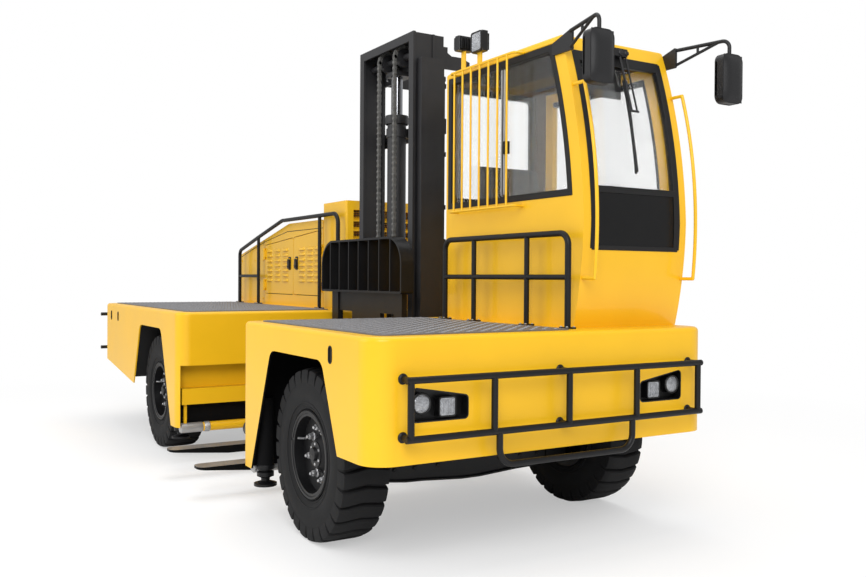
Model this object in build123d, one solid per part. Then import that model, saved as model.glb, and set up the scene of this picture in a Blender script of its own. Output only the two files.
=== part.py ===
"""Side loader forklift: platform with a load well, reach mast, cab and engine hood.

Millimetres. +X is forward, +Y the vehicle's left, +Z up. The load side is -Y.
The origin is on the ground under the middle of the vehicle.
"""
from build123d import *
import math
import os

# Platform
body_length = 5272
# Places along the vehicle stretch with its length; 1 at the length they are drawn for
stretch = body_length / 5272
body_width = 1980
deck_height = 1050
sheet = 10
lip_radius = 22
corner_radius = 120
well_corner_radius = 90
leg_bottom = 255
front_leg_width = 150
rear_leg_width = 25
wall_drop = 367
front_skirt_bottom = 510
rear_skirt_low = 437
rear_skirt_high = 566
link_width = 350
link_bottom = 400
slot_drop = 99
slot_height = 78
slot_width = 38

# Load well
well_centre = 419.5 * stretch
well_length = 1281 * stretch

# Wheels
front_axle_x = 1826 * stretch
rear_axle_x = -994 * stretch
track_half = 800
tyre_diameter = 850
tyre_width = 250
tyre_facets = 28
lug_height = 22
lug_width = 60
lug_skew = 9
rim_seat_radius = 200
rim_flange_radius = 218
rim_width = 220
rim_lip = 10
hub_radius = 75
spindle_radius = 40
spindle_inset = 30
arch_half = 318
arch_cover = 132
arch_splay = 0.42
arch_corner = 75

# Fits
running = 0.3
slide_gap = 10
sink = 1
hinge_radius = 9
hinge_pin = 5
hinge_off = 10
hinge_half = 30
hinge_leaf = 24
hinge_lug = 20

# Steering
kingpin_y = 610
kingpin_radius = 25
knuckle_radius = 45
knuckle_height = 200
yoke_thick = 40
yoke_half = 55
steer_arm = 190
steer_arm_wide = 24

# Chassis
beam_inner = 270
beam_width = 120
beam_bottom = 620
beam_setback = 76
rail_setback = 43
rail_width = 80
rail_bottom = 410
rail_height = 110
rail_wall = 20
rail_wall_bottom = 262
rail_inset = 32
tie_height = 245
tie_radius = 32
link_beam_y = (690, 900)
link_beam_z = (480, 760)

# Mast
mast_front = 257
column_depth = 173
flange_thick = 18
web_thick = 20
inner_half = 386
inner_flange = 60
outer_half = 440
outer_flange = 60
outer_setback = 33
mast_bottom = 230
mast_top = 2913
crosshead_height = 223
head_depth = 248
outer_drop = 175
sheave_drop = 113
barrel_drop = 270
cylinder_y = 350
barrel_radius = 65
rod_radius = 40
track_roller_radius = 50
sheave_radius = 62
chain_offset = 111
chain_width = 30
chain_waist = 18
chain_thick = 24
chain_pitch = 120
chain_foot = 640

# Fork carriage
fork_face = 80
fork_thick = 45
fork_width = 130
fork_spread = 300
fork_top = 190
fork_heel = 50
fork_tip = -1145
fork_tip_thick = 14
carriage_half = 540
carriage_depth = 60
lower_bar = (215, 315)
upper_bar = (620, 720)
backrest_half = 600
backrest_front = 55
backrest_depth = 90
backrest_bottom = 1195
backrest_top = 1560
backrest_corner = 180
flat_bar = 14

# Cab
cab_height = 1500
cab_rear = 1210 * stretch
cab_near = 265
cab_far = 980
cab_wall = 42
cab_nose = 2488 * stretch
cab_foot = 2415 * stretch
cab_brow = 2296 * stretch
pillar = 88
window_rear = 30
glass = 6

# Hood
hood_height = 707
hood_rear = -2597 * stretch
hood_front = -655 * stretch
hood_near = 280
hood_far = 980
hood_knee = -1362 * stretch
hood_sheet = 26
door_rise = 100
door_split = -1265 * stretch
door_rear_edge = -1930 * stretch
door_front_edge = -690 * stretch
door_gap = 6
intake_front = -232 * stretch
intake_rise = 123

# Tubes
guard_radius = 15
guard_reach = 70
guard_half = 863
rear_guard_half = 1010
rail_radius = 16
bend = 70
rod_thin = 7

# Jacks
jack_y = -915
jack_radius = 45
jack_rod = 32
jack_pad_radius = 62
jack_neck = 24
jack_pad_z = 160
jack_top = 640
jack_rod_top = 600

half_length = body_length / 2
half_width = body_width / 2
well_front = well_centre + well_length / 2
well_rear = well_centre - well_length / 2
wheel_z = tyre_diameter / 2
ground_cut = leg_bottom - 60
wall_bottom = deck_height - wall_drop
arch_top = deck_height - arch_cover
jack_offset = well_length / 2 + 0.55 * (front_axle_x - wheel_z - well_front)

crosshead_low = mast_top - crosshead_height
outer_top = mast_top - outer_drop
sheave_z = mast_top - sheave_drop
barrel_top = crosshead_low - barrel_drop
clamp_z = (barrel_top - 150, barrel_top - 90)

cab_bottom = deck_height
cab_roof = cab_bottom + cab_height
cab_nose_z = cab_bottom + 0.3667 * cab_height
cab_belly = cab_foot + 0.671 * (cab_nose - cab_foot)
cab_belly_z = cab_bottom + 0.1647 * cab_height
cab_shoulder = cab_nose - 0.344 * (cab_nose - cab_brow)
cab_shoulder_z = cab_bottom + 0.7147 * cab_height
cab_ahead = max(cab_nose, cab_brow, cab_foot) + 100
cab_behind_screen = min(cab_nose, cab_brow, cab_foot) - 100
sill = cab_bottom + 0.45 * cab_height
header = cab_roof - 45
panel_bottom = cab_bottom + 0.2667 * cab_height
panel_top = cab_bottom + 0.4633 * cab_height
screen_top = cab_roof - 83

hood_top = deck_height + hood_height
hood_rear_top = deck_height + 0.6535 * hood_height
door_bottom = deck_height + door_rise
door_top_rear = deck_height + 0.7539 * hood_height
door_top_front = deck_height + 0.8798 * hood_height
intake_top = hood_top + intake_rise


def block(x, y, z):
    """Box between a low and a high value on each axis."""
    middle = Pos((x[0] + x[1]) / 2, (y[0] + y[1]) / 2, (z[0] + z[1]) / 2)
    return middle * Box(abs(x[1] - x[0]), abs(y[1] - y[0]), abs(z[1] - z[0]))


def bar(start, end, radius):
    """Round bar from one point to another."""
    run = Vector(*end) - Vector(*start)
    return extrude(Plane(origin=start, z_dir=run) * Circle(radius), amount=run.length)


def bent_bar(points, radius, turn=bend):
    """Round bar along a route whose corners are rounded."""
    route = FilletPolyline(*points, radius=turn)
    return sweep(Plane(origin=route @ 0, z_dir=route % 0) * Circle(radius), path=route)


def rounded(points, radii=0):
    """Face inside a closed outline, with the radius of each corner."""
    return make_face(FilletPolyline(*points, radius=radii, close=True))


def across(outline, y):
    """Outline drawn in X and Z, carried from one Y to another."""
    return extrude(Plane.XZ.offset(-max(y)) * outline, amount=max(y) - min(y))


def upright(outline, z):
    """Outline drawn in X and Y, carried from one Z to another."""
    return extrude(Plane.XY.offset(min(z)) * outline, amount=max(z) - min(z))


def along(outline, x):
    """Outline drawn in Y and Z, carried from one X to another."""
    return extrude(Plane.YZ.offset(min(x)) * outline, amount=max(x) - min(x))


def hinge_barrel(x, face, z, toward, out):
    """Moving half of a hinge: barrel and leaf. toward is the door's way in X, out the way outwards in Y."""
    y = face + out * hinge_off
    barrel = bar((x, y, z - hinge_half), (x, y, z + hinge_half), hinge_radius)
    leaf = (min(y, face - out * sink), max(y, face - out * sink))
    end = x + toward * hinge_leaf
    barrel += block((min(x, end), max(x, end)), leaf, (z - hinge_half, z + hinge_half))
    return barrel - bar((x, y, z - hinge_half - 1), (x, y, z + hinge_half + 1), hinge_pin + running)


def hinge_pins(x, face, z, toward, out):
    """Fixed half of a hinge: pin between two lugs on the frame's side."""
    y = face + out * hinge_off
    near = hinge_half + 1
    far = near + hinge_lug
    pins = bar((x, y, z - far), (x, y, z + far), hinge_pin)
    leaf = (min(y, face - out * sink), max(y, face - out * sink))
    end = x - toward * hinge_leaf
    for level in ((z - far, z - near), (z + near, z + far)):
        pins += bar((x, y, level[0]), (x, y, level[1]), hinge_radius)
        pins += block((min(x, end), max(x, end)), leaf, level)
    return pins


def both(x):
    """The two X places at one distance from the middle of the well."""
    return (well_centre - x, well_centre + x)


def span(inner, outer, side):
    """X range between two distances from the middle of the well, on one side."""
    ends = (well_centre + side * inner, well_centre + side * outer)
    return (min(ends), max(ends))


# Body shells


def arch(axle_x):
    """Wheel arch that splays downwards, cut through both sides."""
    drop = arch_top - ground_cut
    foot = arch_half + arch_splay * drop
    outline = rounded(
        [
            (axle_x - foot, ground_cut),
            (axle_x - arch_half, arch_top),
            (axle_x + arch_half, arch_top),
            (axle_x + foot, ground_cut),
        ],
        [0, arch_corner, arch_corner, 0],
    )
    return across(outline, (-half_width - 1, half_width + 1))


def inset_points(corners, amount):
    """Corners of a square-cornered outline, listed with their inward directions."""
    return [(x + dx * amount, y + dy * amount) for x, y, dx, dy in corners]


def shell(corners, radii):
    """Open-bottomed body with a rounded top lip, hollow under its deck sheet."""
    outer = upright(rounded(inset_points(corners, 0), radii), (leg_bottom, deck_height))
    top_edges = outer.faces().sort_by(Axis.Z)[-1].edges()
    outer = fillet(top_edges, lip_radius)
    inner_radii = [max(radius - sheet, 0) for radius in radii]
    inner_plan = rounded(inset_points(corners, sheet), inner_radii)
    return outer - upright(inner_plan, (leg_bottom - 1, deck_height - sheet))


def side_slot(x):
    """Upright rounded slot through the side panels."""
    outline = Pos(x, deck_height - slot_drop) * Rot(0, 0, 90) * SlotOverall(slot_height, slot_width)
    return across(outline, (-half_width - 1, half_width + 1))


face_height = deck_height - front_skirt_bottom
lamp_outer = 795
lamp_inner = 509
lamp_low = front_skirt_bottom + 0.322 * face_height
lamp_high_outer = front_skirt_bottom + 0.607 * face_height
lamp_high_inner = front_skirt_bottom + 0.5185 * face_height
lamp_corner = 22
lamp_wall = 5
lamp_pan_depth = 60


def lamp_outline(side, edge):
    """Tapered lamp recess in the front face, drawn in Y and Z."""
    points = [
        (side * (lamp_inner + edge), lamp_low + edge),
        (side * (lamp_outer - edge), lamp_low + edge),
        (side * (lamp_outer - edge), lamp_high_outer - edge),
        (side * (lamp_inner + edge), lamp_high_inner - edge),
    ]
    return rounded(points, lamp_corner - edge)


def link_opening():
    """Way through the meeting walls for the chassis link beam."""
    x = (well_front - sheet - 1, well_front + sheet + 1)
    y = (half_width - link_width + sheet, half_width - sheet)
    return block(x, y, (0, deck_height - sheet))


front_slot = 2239 * stretch
rear_slots = (-2085 * stretch, -2348 * stretch)


def make_front_body():
    # Columns: x, y, inward x, inward y
    corners = [
        (well_front, -half_width, 1, 1),
        (half_length, -half_width, -1, 1),
        (half_length, half_width, -1, -1),
        (well_front, half_width, 1, -1),
    ]
    body = shell(corners, [well_corner_radius, corner_radius, corner_radius, lip_radius])
    body -= arch(front_axle_x)
    across_body = (-half_width - 1, half_width + 1)
    body -= block((front_axle_x, half_length + 1), across_body, (0, front_skirt_bottom))
    wall = (well_front - 1, well_front + sheet + 1)
    body -= block(wall, (front_leg_width - half_width, half_width + 1), (0, wall_bottom))
    body -= link_opening()
    body -= side_slot(front_slot)
    for side in (-1, 1):
        body -= along(lamp_outline(side, 0), (half_length - sheet - 1, half_length + 1))
    return body


engine_opening = ((-2360 * stretch, -760 * stretch), (330, 930))
inside_corner = lip_radius + 8


def make_rear_body():
    link_near = half_width - link_width
    # Columns: x, y, inward x, inward y
    corners = [
        (-half_length, -half_width, 1, 1),
        (well_rear, -half_width, -1, 1),
        (well_rear, link_near, -1, 1),
        (well_front, link_near, -1, 1),
        (well_front, half_width, -1, -1),
        (-half_length, half_width, 1, -1),
    ]
    radii = [corner_radius, well_corner_radius, *[inside_corner] * 3, corner_radius]
    body = shell(corners, radii)
    body -= arch(rear_axle_x)
    skirt = make_face(
        Polyline(
            (-half_length - 1, 0),
            (-half_length - 1, rear_skirt_high),
            (rear_axle_x - arch_half - arch_splay * (arch_top - rear_skirt_low), rear_skirt_low),
            (rear_axle_x, rear_skirt_low),
            (rear_axle_x, 0),
            close=True,
        )
    )
    body -= across(skirt, (-half_width - 1, half_width + 1))
    wall = (well_rear - well_corner_radius - 1, well_rear + 1)
    body -= block(wall, (rear_leg_width - half_width, link_near + sheet), (0, wall_bottom))
    body -= block((well_rear - 60, well_front + 1), (link_near - 1, half_width + 1), (0, link_bottom))
    body -= block(engine_opening[0], engine_opening[1], (deck_height - sheet - 1, deck_height + 1))
    body -= link_opening()
    for x in rear_slots:
        body -= side_slot(x)
    return body


border = 80
tread_plate = 5
tread_corner = 60
front_plate_far = 150
rear_plate_far = 185


def make_deck_plates():
    plates = []
    # Columns: rear end, front end, far edge
    for rear, front, far in (
        (well_front + border, half_length - border, front_plate_far),
        (-half_length + border, well_rear - border, rear_plate_far),
    ):
        near = -half_width + border
        outline = Pos((rear + front) / 2, (near + far) / 2) * RectangleRounded(
            front - rear, far - near, tread_corner
        )
        plates.append(upright(outline, (deck_height, deck_height + tread_plate)))
    return Compound(children=[solid for plate in plates for solid in plate.solids()])


# Chassis


def make_chassis_frame():
    frame_top = deck_height - sheet
    frame_near = -half_width + sheet
    rail_near = frame_near + rail_inset
    rail_far = link_beam_y[0]
    beam_end = half_length - beam_setback
    rail_inner = well_length / 2 + rail_setback
    wall_inner = rail_inner + rail_width
    wall_outer = wall_inner + rail_wall
    frame = block(both(wall_outer), link_beam_y, link_beam_z)
    for side in (-1, 1):
        rail_levels = (rail_bottom, rail_bottom + rail_height)
        frame += block(span(rail_inner, wall_inner, side), (rail_near, rail_far), rail_levels)
        wall = span(wall_inner, wall_outer, side)
        frame += block(wall, (frame_near, rail_far), (rail_wall_bottom, frame_top))
        tie_x = well_centre + side * (rail_inner + tie_radius + 5)
        frame += bar((tie_x, rail_near, tie_height), (tie_x, rail_far, tie_height), tie_radius)
        for y in (rail_near, rail_far - 60):
            hanger = (tie_x - 12, tie_x + 12)
            frame += block(hanger, (y + 20, y + 40), (tie_height, rail_bottom + sink))
        jack_x = well_centre + side * jack_offset
        frame += bar((jack_x, jack_y, leg_bottom - 5), (jack_x, jack_y, jack_top), jack_radius)
        web = span(wall_outer - 5, jack_offset, side)
        frame += block(web, (jack_y - 20, jack_y + 20), (leg_bottom + 45, jack_rod_top))
        frame -= bar((jack_x, jack_y, 0), (jack_x, jack_y, jack_rod_top + 10), jack_rod + running)
        end_x = side * beam_end
        for hand in (-1, 1):
            lane = (hand * beam_inner, hand * (beam_inner + beam_width))
            run = (well_centre + side * wall_outer, end_x)
            frame += block(run, (min(lane), max(lane)), (beam_bottom, frame_top))
        cross = (end_x, end_x - side * 80)
        frame += block((min(cross), max(cross)), (-beam_inner, beam_inner), (beam_bottom, frame_top - 240))
    return frame


def make_jack(side):
    """Stabiliser foot with its rod inside the housing."""
    x = well_centre + side * jack_offset
    outline = make_face(
        Polyline(
            (0, jack_pad_z),
            (jack_pad_radius, jack_pad_z),
            (jack_pad_radius, jack_pad_z + 14),
            (jack_neck, jack_pad_z + 26),
            (jack_neck, jack_pad_z + 42),
            (jack_rod + 14, jack_pad_z + 52),
            (jack_rod + 14, jack_pad_z + 74),
            (jack_rod, jack_pad_z + 82),
            (jack_rod, jack_rod_top),
            (0, jack_rod_top),
            close=True,
        )
    )
    return Pos(x, jack_y, 0) * revolve(Plane.XZ * outline, Axis.Z)


def make_front_axle():
    x = front_axle_x
    half_knuckle = knuckle_height / 2
    axle = block((x - 60, x + 60), (-540, 540), (wheel_z - 60, wheel_z + 60))
    for side in (-1, 1):
        pad = (side * beam_inner, side * (beam_inner + beam_width))
        axle += block((x - 60, x + 60), (min(pad), max(pad)), (wheel_z + 60, beam_bottom))
        back = (side * 525, side * 555)
        arm = (side * 525, side * (kingpin_y + yoke_half))
        yoke_x = (x - yoke_half, x + yoke_half)
        yoke_z = (wheel_z - half_knuckle - yoke_thick, wheel_z + half_knuckle + yoke_thick)
        axle += block(yoke_x, (min(back), max(back)), yoke_z)
        for hand in (-1, 1):
            z = wheel_z + hand * half_knuckle
            level = (z, z + hand * yoke_thick)
            axle += block(yoke_x, (min(arm), max(arm)), (min(level), max(level)))
        axle -= bar((x, side * kingpin_y, 0), (x, side * kingpin_y, 1000), kingpin_radius + running)
    return axle


def make_knuckle(side):
    """Steering knuckle with its king pin, spindle and steering arm."""
    x = front_axle_x
    y = side * kingpin_y
    half_boss = knuckle_height / 2 - running
    half_pin = knuckle_height / 2 + yoke_thick
    knuckle = bar((x, y, wheel_z - half_boss), (x, y, wheel_z + half_boss), knuckle_radius)
    knuckle += bar((x, y, wheel_z - half_pin), (x, y, wheel_z + half_pin), kingpin_radius)
    knuckle += bar((x, y, wheel_z), (x, side * (track_half - spindle_inset), wheel_z), spindle_radius)
    arm = (y, y + side * steer_arm_wide)
    knuckle += block((x - steer_arm, x), (min(arm), max(arm)), (wheel_z - 90, wheel_z - 60))
    return knuckle


def make_rear_axle():
    x = rear_axle_x
    axle = bar((x, -640, wheel_z), (x, 640, wheel_z), 85)
    # Columns: radius, distance from the middle
    bowl_half = ((205, 0), (185, 110), (90, 230), (0, 230))
    bowl = make_face(Polyline(*[(r, -y) for r, y in reversed(bowl_half)], *bowl_half[1:], close=True))
    axle += Pos(x, 0, wheel_z) * revolve(bowl, Axis.Y)
    axle += bar((x, 0, wheel_z), (x - 330, 0, wheel_z + 20), 70)
    for side in (-1, 1):
        pad = (side * beam_inner, side * (beam_inner + beam_width))
        axle += block((x - 70, x + 70), (min(pad), max(pad)), (wheel_z, beam_bottom))
        axle += bar((x, side * 600, wheel_z), (x, side * 655, wheel_z), 150)
        spindle_end = side * (track_half - spindle_inset)
        axle += bar((x, side * 600, wheel_z), (x, spindle_end, wheel_z), spindle_radius)
    return axle


# Wheels


def make_rim():
    """Dished rim about the Y axis, its outer face towards +Y."""
    half_rim = rim_width / 2
    seat = rim_seat_radius
    inner = seat - 12
    flange = rim_flange_radius
    bore = spindle_radius + running
    points = [
        (0, running - spindle_inset),
        (bore, running - spindle_inset),
        (bore, -62),
        (hub_radius, -62),
        (hub_radius, 2),
        (inner, 40),
        (inner, -half_rim),
        (flange, -half_rim),
        (flange, rim_lip - half_rim),
        (seat, rim_lip - half_rim),
        (seat, half_rim - rim_lip),
        (flange, half_rim - rim_lip),
        (flange, half_rim),
        (inner, half_rim),
        (inner, 56),
        (hub_radius + 30, 28),
        (hub_radius - 8, 72),
        (0, 72),
    ]
    return revolve(make_face(Polyline(*points, close=True)), Axis.Y)


def ring_points(y, radius):
    """Corners of a regular outline about the Y axis, with a flat side at the top."""
    turns = [2 * math.pi * (k + 0.5) / tyre_facets for k in range(tyre_facets)]
    return [(radius * math.sin(turn), y, radius * math.cos(turn)) for turn in turns]


def faceted(stations):
    """Solid of flat facets through rings of Y and radius."""
    rings = [ring_points(y, radius) for y, radius in stations]
    outlines = [rings[0], rings[-1]]
    for first, second in zip(rings, rings[1:]):
        for k in range(tyre_facets):
            outlines.append((first[k - 1], first[k], second[k], second[k - 1]))
    faces = [make_face(Polyline(*outline, close=True)).face() for outline in outlines]
    return Solid(Shell(faces))


def make_tyre():
    """Tyre of flat facets about the Y axis, one chevron lug on each facet, a lug corner lowest."""
    outer = tyre_diameter / 2
    crown = outer - lug_height
    bead = rim_width / 2 - rim_lip - running
    bulge = tyre_width / 2
    heel = rim_flange_radius + 1
    facet_turn = 180 / tyre_facets
    # Columns: Y, radius
    edge = bulge - 12
    half = ((bead, heel), (bulge, (crown + heel) / 2), (edge, crown))
    stations = [*half, *[(-y, radius) for y, radius in reversed(half)]]
    tyre = Part() + faceted(stations)
    seat = RegularPolygon(rim_seat_radius + running, tyre_facets, major_radius=False, rotation=facet_turn)
    tyre -= across(seat, (-bulge, bulge))
    half_lug = lug_width / 2
    reach_out = half_lug + lug_skew
    lug_top = math.sqrt(outer**2 - reach_out**2)
    plan = make_face(
        Polyline(
            (-half_lug - lug_skew, -edge),
            (half_lug - lug_skew, -edge),
            (half_lug + lug_skew, 0),
            (half_lug - lug_skew, edge),
            (-half_lug - lug_skew, edge),
            (-half_lug + lug_skew, 0),
            close=True,
        )
    )
    lug = upright(plan, (crown - 60, lug_top))
    lugs = [Rot(0, 2 * facet_turn * k, 0) * lug for k in range(tyre_facets)]
    corner_turn = math.degrees(math.asin(reach_out / outer))
    return Rot(0, 180 + corner_turn, 0) * tyre.fuse(*lugs)


def at_wheel(shape, x, side):
    """Shape made about the Y axis, set at a wheel with its outer face outwards."""
    return Pos(x, side * track_half, wheel_z) * (shape if side > 0 else Rot(0, 0, 180) * shape)


# Mast

inner_web = inner_half - 40
outer_front = mast_front + outer_setback
outer_back = outer_front + column_depth
inner_back = mast_front + column_depth
roller_radius = column_depth / 2 - flange_thick - running
tie_thick = 18
tie_tall = 100
base_depth = 57
foot_thick = 22
clamp_wall = 8
middle_tie_z = mast_bottom + 0.4883 * (outer_top - mast_bottom)
anchor_top = clamp_z[1] + 15
sheave_y = mast_front + chain_thick + 1 + sheave_radius


def make_mast_outer():
    """Outer channels, their ties and the base that rolls on the reach rails."""
    mast = Part()
    rail_inner = well_length / 2 + rail_setback
    for side in (-1, 1):
        web = span(outer_half - web_thick, outer_half, side)
        mast += block(web, (outer_front, outer_back), (mast_bottom, outer_top))
        flange = span(outer_half - outer_flange, outer_half, side)
        for y in (outer_front, outer_back - flange_thick):
            mast += block(flange, (y, y + flange_thick), (mast_bottom, outer_top))
        arm = span(outer_half - 1, rail_inner - slide_gap, side)
        rail_top = rail_bottom + rail_height
        depth = (outer_front, outer_back + base_depth)
        mast += block(arm, depth, (mast_bottom + 70, rail_top - 20))
        cheek = span(rail_inner - slide_gap - 24, rail_inner - slide_gap, side)
        mast += block(cheek, depth, (rail_top - 40, rail_top + 120))
        roller_z = rail_top + track_roller_radius + running
        for y in (outer_front + 60, outer_back):
            start = well_centre + side * (rail_inner - slide_gap - 12)
            inner = well_centre + side * (rail_inner + 10)
            outer = well_centre + side * (rail_inner + 60)
            mast += bar((start, y, roller_z), (outer, y, roller_z), 20)
            mast += bar((inner, y, roller_z), (outer, y, roller_z), track_roller_radius)
    ties = both(outer_half)
    # Columns: bottom, top, thickness
    for low, high, thick in (
        (mast_bottom, mast_bottom + 190, base_depth),
        (middle_tie_z, middle_tie_z + tie_tall, tie_thick),
        (clamp_z[0] - 20, clamp_z[0] - 20 + tie_tall, tie_thick),
    ):
        mast += block(ties, (outer_back, outer_back + thick), (low, high))
    foot = (mast_bottom, mast_bottom + foot_thick)
    mast += block(both(180), (cylinder_y - 70, outer_back + sink), foot)
    mast += block(both(24), (cylinder_y + barrel_radius + clamp_wall, outer_back + sink), clamp_z)
    for side in (-1, 1):
        lug = span(chain_offset - 24, chain_offset + 24, side)
        mast += block(lug, (400, outer_back + sink), (anchor_top - 45, anchor_top))
    return mast


def make_lift_cylinder():
    """Barrel on the mast base with its collar and the clamp that steadies it."""
    low = mast_bottom + foot_thick
    centre = (well_centre, cylinder_y)
    barrel = bar((*centre, low), (*centre, barrel_top), barrel_radius)
    barrel += bar((*centre, barrel_top - 60), (*centre, barrel_top), barrel_radius + 14)
    barrel += bar((*centre, clamp_z[0]), (*centre, clamp_z[1]), barrel_radius + clamp_wall)
    return barrel - bar((*centre, low + 40), (*centre, barrel_top + 1), rod_radius + running)


head_plate = 16
head_beam = 57
head_cover = 10
# Columns: Y from the mast's front, Z below its top, along the stepped back of the crosshead
head_steps = ((248, 67), (280, 67), (280, 104), (312, 123), (388, 123), (458, 148), (458, 213), (172, 213))


def make_mast_inner():
    """Inner columns, crosshead with sheaves, lower tie and the rollers in the outer channels."""
    mast = Part()
    low = mast_bottom + 40
    for side in (-1, 1):
        web = span(inner_web, inner_web + web_thick, side)
        mast += block(web, (mast_front, inner_back), (low, mast_top))
        front = span(inner_half - inner_flange, inner_half, side)
        mast += block(front, (mast_front, mast_front + flange_thick), (low, mast_top))
        back = span(inner_half - inner_flange, outer_half - outer_flange - 6, side)
        mast += block(back, (inner_back - flange_thick, inner_back), (low, mast_top))
        roller = span(inner_web + web_thick - 1, outer_half - web_thick - 4, side)
        wheel = span(outer_half - outer_flange, outer_half - web_thick - 4, side)
        for z in (low + 120, outer_top - 800):
            y = (outer_front + outer_back) / 2
            mast += bar((roller[0], y, z), (roller[1], y, z), 26)
            mast += bar((wheel[0], y, z), (wheel[1], y, z), roller_radius)
        cheek = span(inner_web, inner_web + head_plate, side)
        steps = [(mast_front + y, mast_top - drop) for y, drop in head_steps]
        top = [(inner_back - sink, mast_top), (mast_front + head_depth, mast_top)]
        mast += along(make_face(Polyline(*top, *steps, close=True)), cheek)
    plate = (inner_back, inner_back + head_plate)
    mast += block(both(inner_web + sink), plate, (low + 30, low + 130))
    mast += block(both(inner_web + head_plate), plate, (crosshead_low, mast_top))
    mast += block(both(70), (cylinder_y - 50, inner_back + sink), (crosshead_low, crosshead_low + 30))
    beam = (mast_front, mast_front + flange_thick - 2)
    mast += block(both(inner_half - sink), beam, (mast_top - head_beam, mast_top))
    mast += block(both(inner_web + sink), (mast_front, inner_back + sink), (mast_top - head_cover, mast_top))
    ends = both(inner_web)
    mast += bar((ends[0], sheave_y, sheave_z), (ends[1], sheave_y, sheave_z), 22)
    for side in (-1, 1):
        sheave = span(chain_offset - 17, chain_offset + 17, side)
        mast += bar((sheave[0], sheave_y, sheave_z), (sheave[1], sheave_y, sheave_z), sheave_radius - running)
    return mast


def make_lift_rod():
    """Piston rod under the crosshead, most of it inside the barrel."""
    centre = (well_centre, cylinder_y)
    return bar((*centre, mast_bottom + 370), (*centre, crosshead_low), rod_radius)


def chain_outline(middle, foot, top):
    """Front view of one chain run: wide link plates with a waist at each pin."""
    links = round((top - foot) / chain_pitch)
    pitch = (top - foot) / links
    edge = []
    for k in range(links):
        z = foot + k * pitch
        edge.extend([(chain_width, z), (chain_width, z + 0.7 * pitch)])
        edge.extend([(chain_waist, z + 0.7 * pitch), (chain_waist, z + pitch)])
    right = [(middle + width / 2, z) for width, z in edge]
    left = [(middle - width / 2, z) for width, z in reversed(edge)]
    return make_face(Polyline(*right, *left, close=True))


def make_lift_chains():
    """Two leaf chains over the crosshead sheaves, down to the fork carriage."""
    chains = []
    front = sheave_y - sheave_radius - chain_thick
    back = sheave_y + sheave_radius
    for side in (-1, 1):
        middle = well_centre + side * chain_offset
        ring = (middle - chain_waist / 2, middle + chain_waist / 2)
        wrap = bar((ring[0], sheave_y, sheave_z), (ring[1], sheave_y, sheave_z), sheave_radius + chain_thick)
        bore = (ring[0] - 1, ring[1] + 1)
        wrap -= bar((bore[0], sheave_y, sheave_z), (bore[1], sheave_y, sheave_z), sheave_radius)
        lower_half = (sheave_z - 200, sheave_z)
        wrap -= block(bore, (sheave_y - 200, sheave_y + 200), lower_half)
        wrap += across(chain_outline(middle, chain_foot, sheave_z), (front, front + chain_thick))
        wrap += block(ring, (back, back + chain_thick), (anchor_top, sheave_z))
        chains.extend(wrap.solids())
    return Compound(children=chains)


# Fork carriage

plate_front = fork_face + fork_thick
plate_back = plate_front + carriage_depth


def make_fork_carriage():
    """Two fork bars on side plates with rollers in the inner columns."""
    carriage = Part()
    for bar_range in (lower_bar, upper_bar):
        carriage += block(both(carriage_half), (plate_front, plate_back), bar_range)
    middle_y = (mast_front + inner_back) / 2
    for side in (-1, 1):
        plate = span(268, 300, side)
        carriage += block(plate, (plate_back - 1, middle_y + 50), (lower_bar[0] + 75, upper_bar[1] - 10))
        carriage += block(plate, (plate_front, plate_back), (lower_bar[1] - 1, upper_bar[0] + 1))
        roller = span(299, inner_web - 6, side)
        for z in (lower_bar[0] + 145, upper_bar[1] - 85):
            carriage += bar((roller[0], middle_y, z), (roller[1], middle_y, z), roller_radius)
        for edge in (chain_offset - 30, chain_offset + 22):
            lug = span(edge, edge + 8, side)
            carriage += block(lug, (plate_back - 1, mast_front + 34), (upper_bar[0], upper_bar[0] + 60))
    return carriage


def make_backrest():
    """Load backrest of flat bar with rounded shoulders, on two legs."""
    radii = [20, 20, backrest_corner, backrest_corner]

    def loop(edge):
        low, high = both(backrest_half - edge)
        points = [
            (low, backrest_bottom + edge),
            (high, backrest_bottom + edge),
            (high, backrest_top - edge),
            (low, backrest_top - edge),
        ]
        return rounded(points, [radius - edge for radius in radii])

    depth = (backrest_front, backrest_front + backrest_depth)
    frame = across(loop(0) - loop(flat_bar), depth)
    bars = 7
    pitch = 2 * backrest_half / (bars + 1)
    for k in range(bars):
        x = well_centre - backrest_half + pitch * (k + 1)
        upright_bar = block((x - 5, x + 5), depth, (backrest_bottom + 1, backrest_top - 1))
        frame += upright_bar
    for side in (-1, 1):
        leg = span(420, 520, side)
        frame += block(leg, (plate_front - 20, plate_front + 20), (upper_bar[1], backrest_bottom + 1))
    frame += block(both(210), (plate_front - 10, plate_front + 10), (880, backrest_bottom + 1))
    frame += block(both(421), (plate_front - 10, plate_front + 10), (1060, backrest_bottom + 1))
    return frame


def make_forks():
    """Two forks hooked over the upper bar, their blades tapered to the tip."""
    forks = []
    blade_low = fork_top - fork_heel
    profile = rounded(
        [
            (plate_front, blade_low),
            (plate_front, upper_bar[1]),
            (plate_front + 40, upper_bar[1]),
            (plate_front + 40, upper_bar[1] + 26),
            (fork_face, upper_bar[1] + 26),
            (fork_face, fork_top),
            (fork_tip, fork_top),
            (fork_tip, fork_top - fork_tip_thick),
            (fork_tip + 380, blade_low),
        ],
        [50, 0, 0, 12, 20, 18, 0, 0, 200],
    )
    for side in (-1, 1):
        lane = span(fork_spread - fork_width / 2, fork_spread + fork_width / 2, side)
        fork = along(profile, lane)
        tip_edges = [edge for edge in fork.edges().filter_by(Axis.Z) if edge.center().Y < fork_tip + 1]
        forks.extend(fillet(tip_edges, 48).solids())
    return Compound(children=forks)


# Cab


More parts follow.
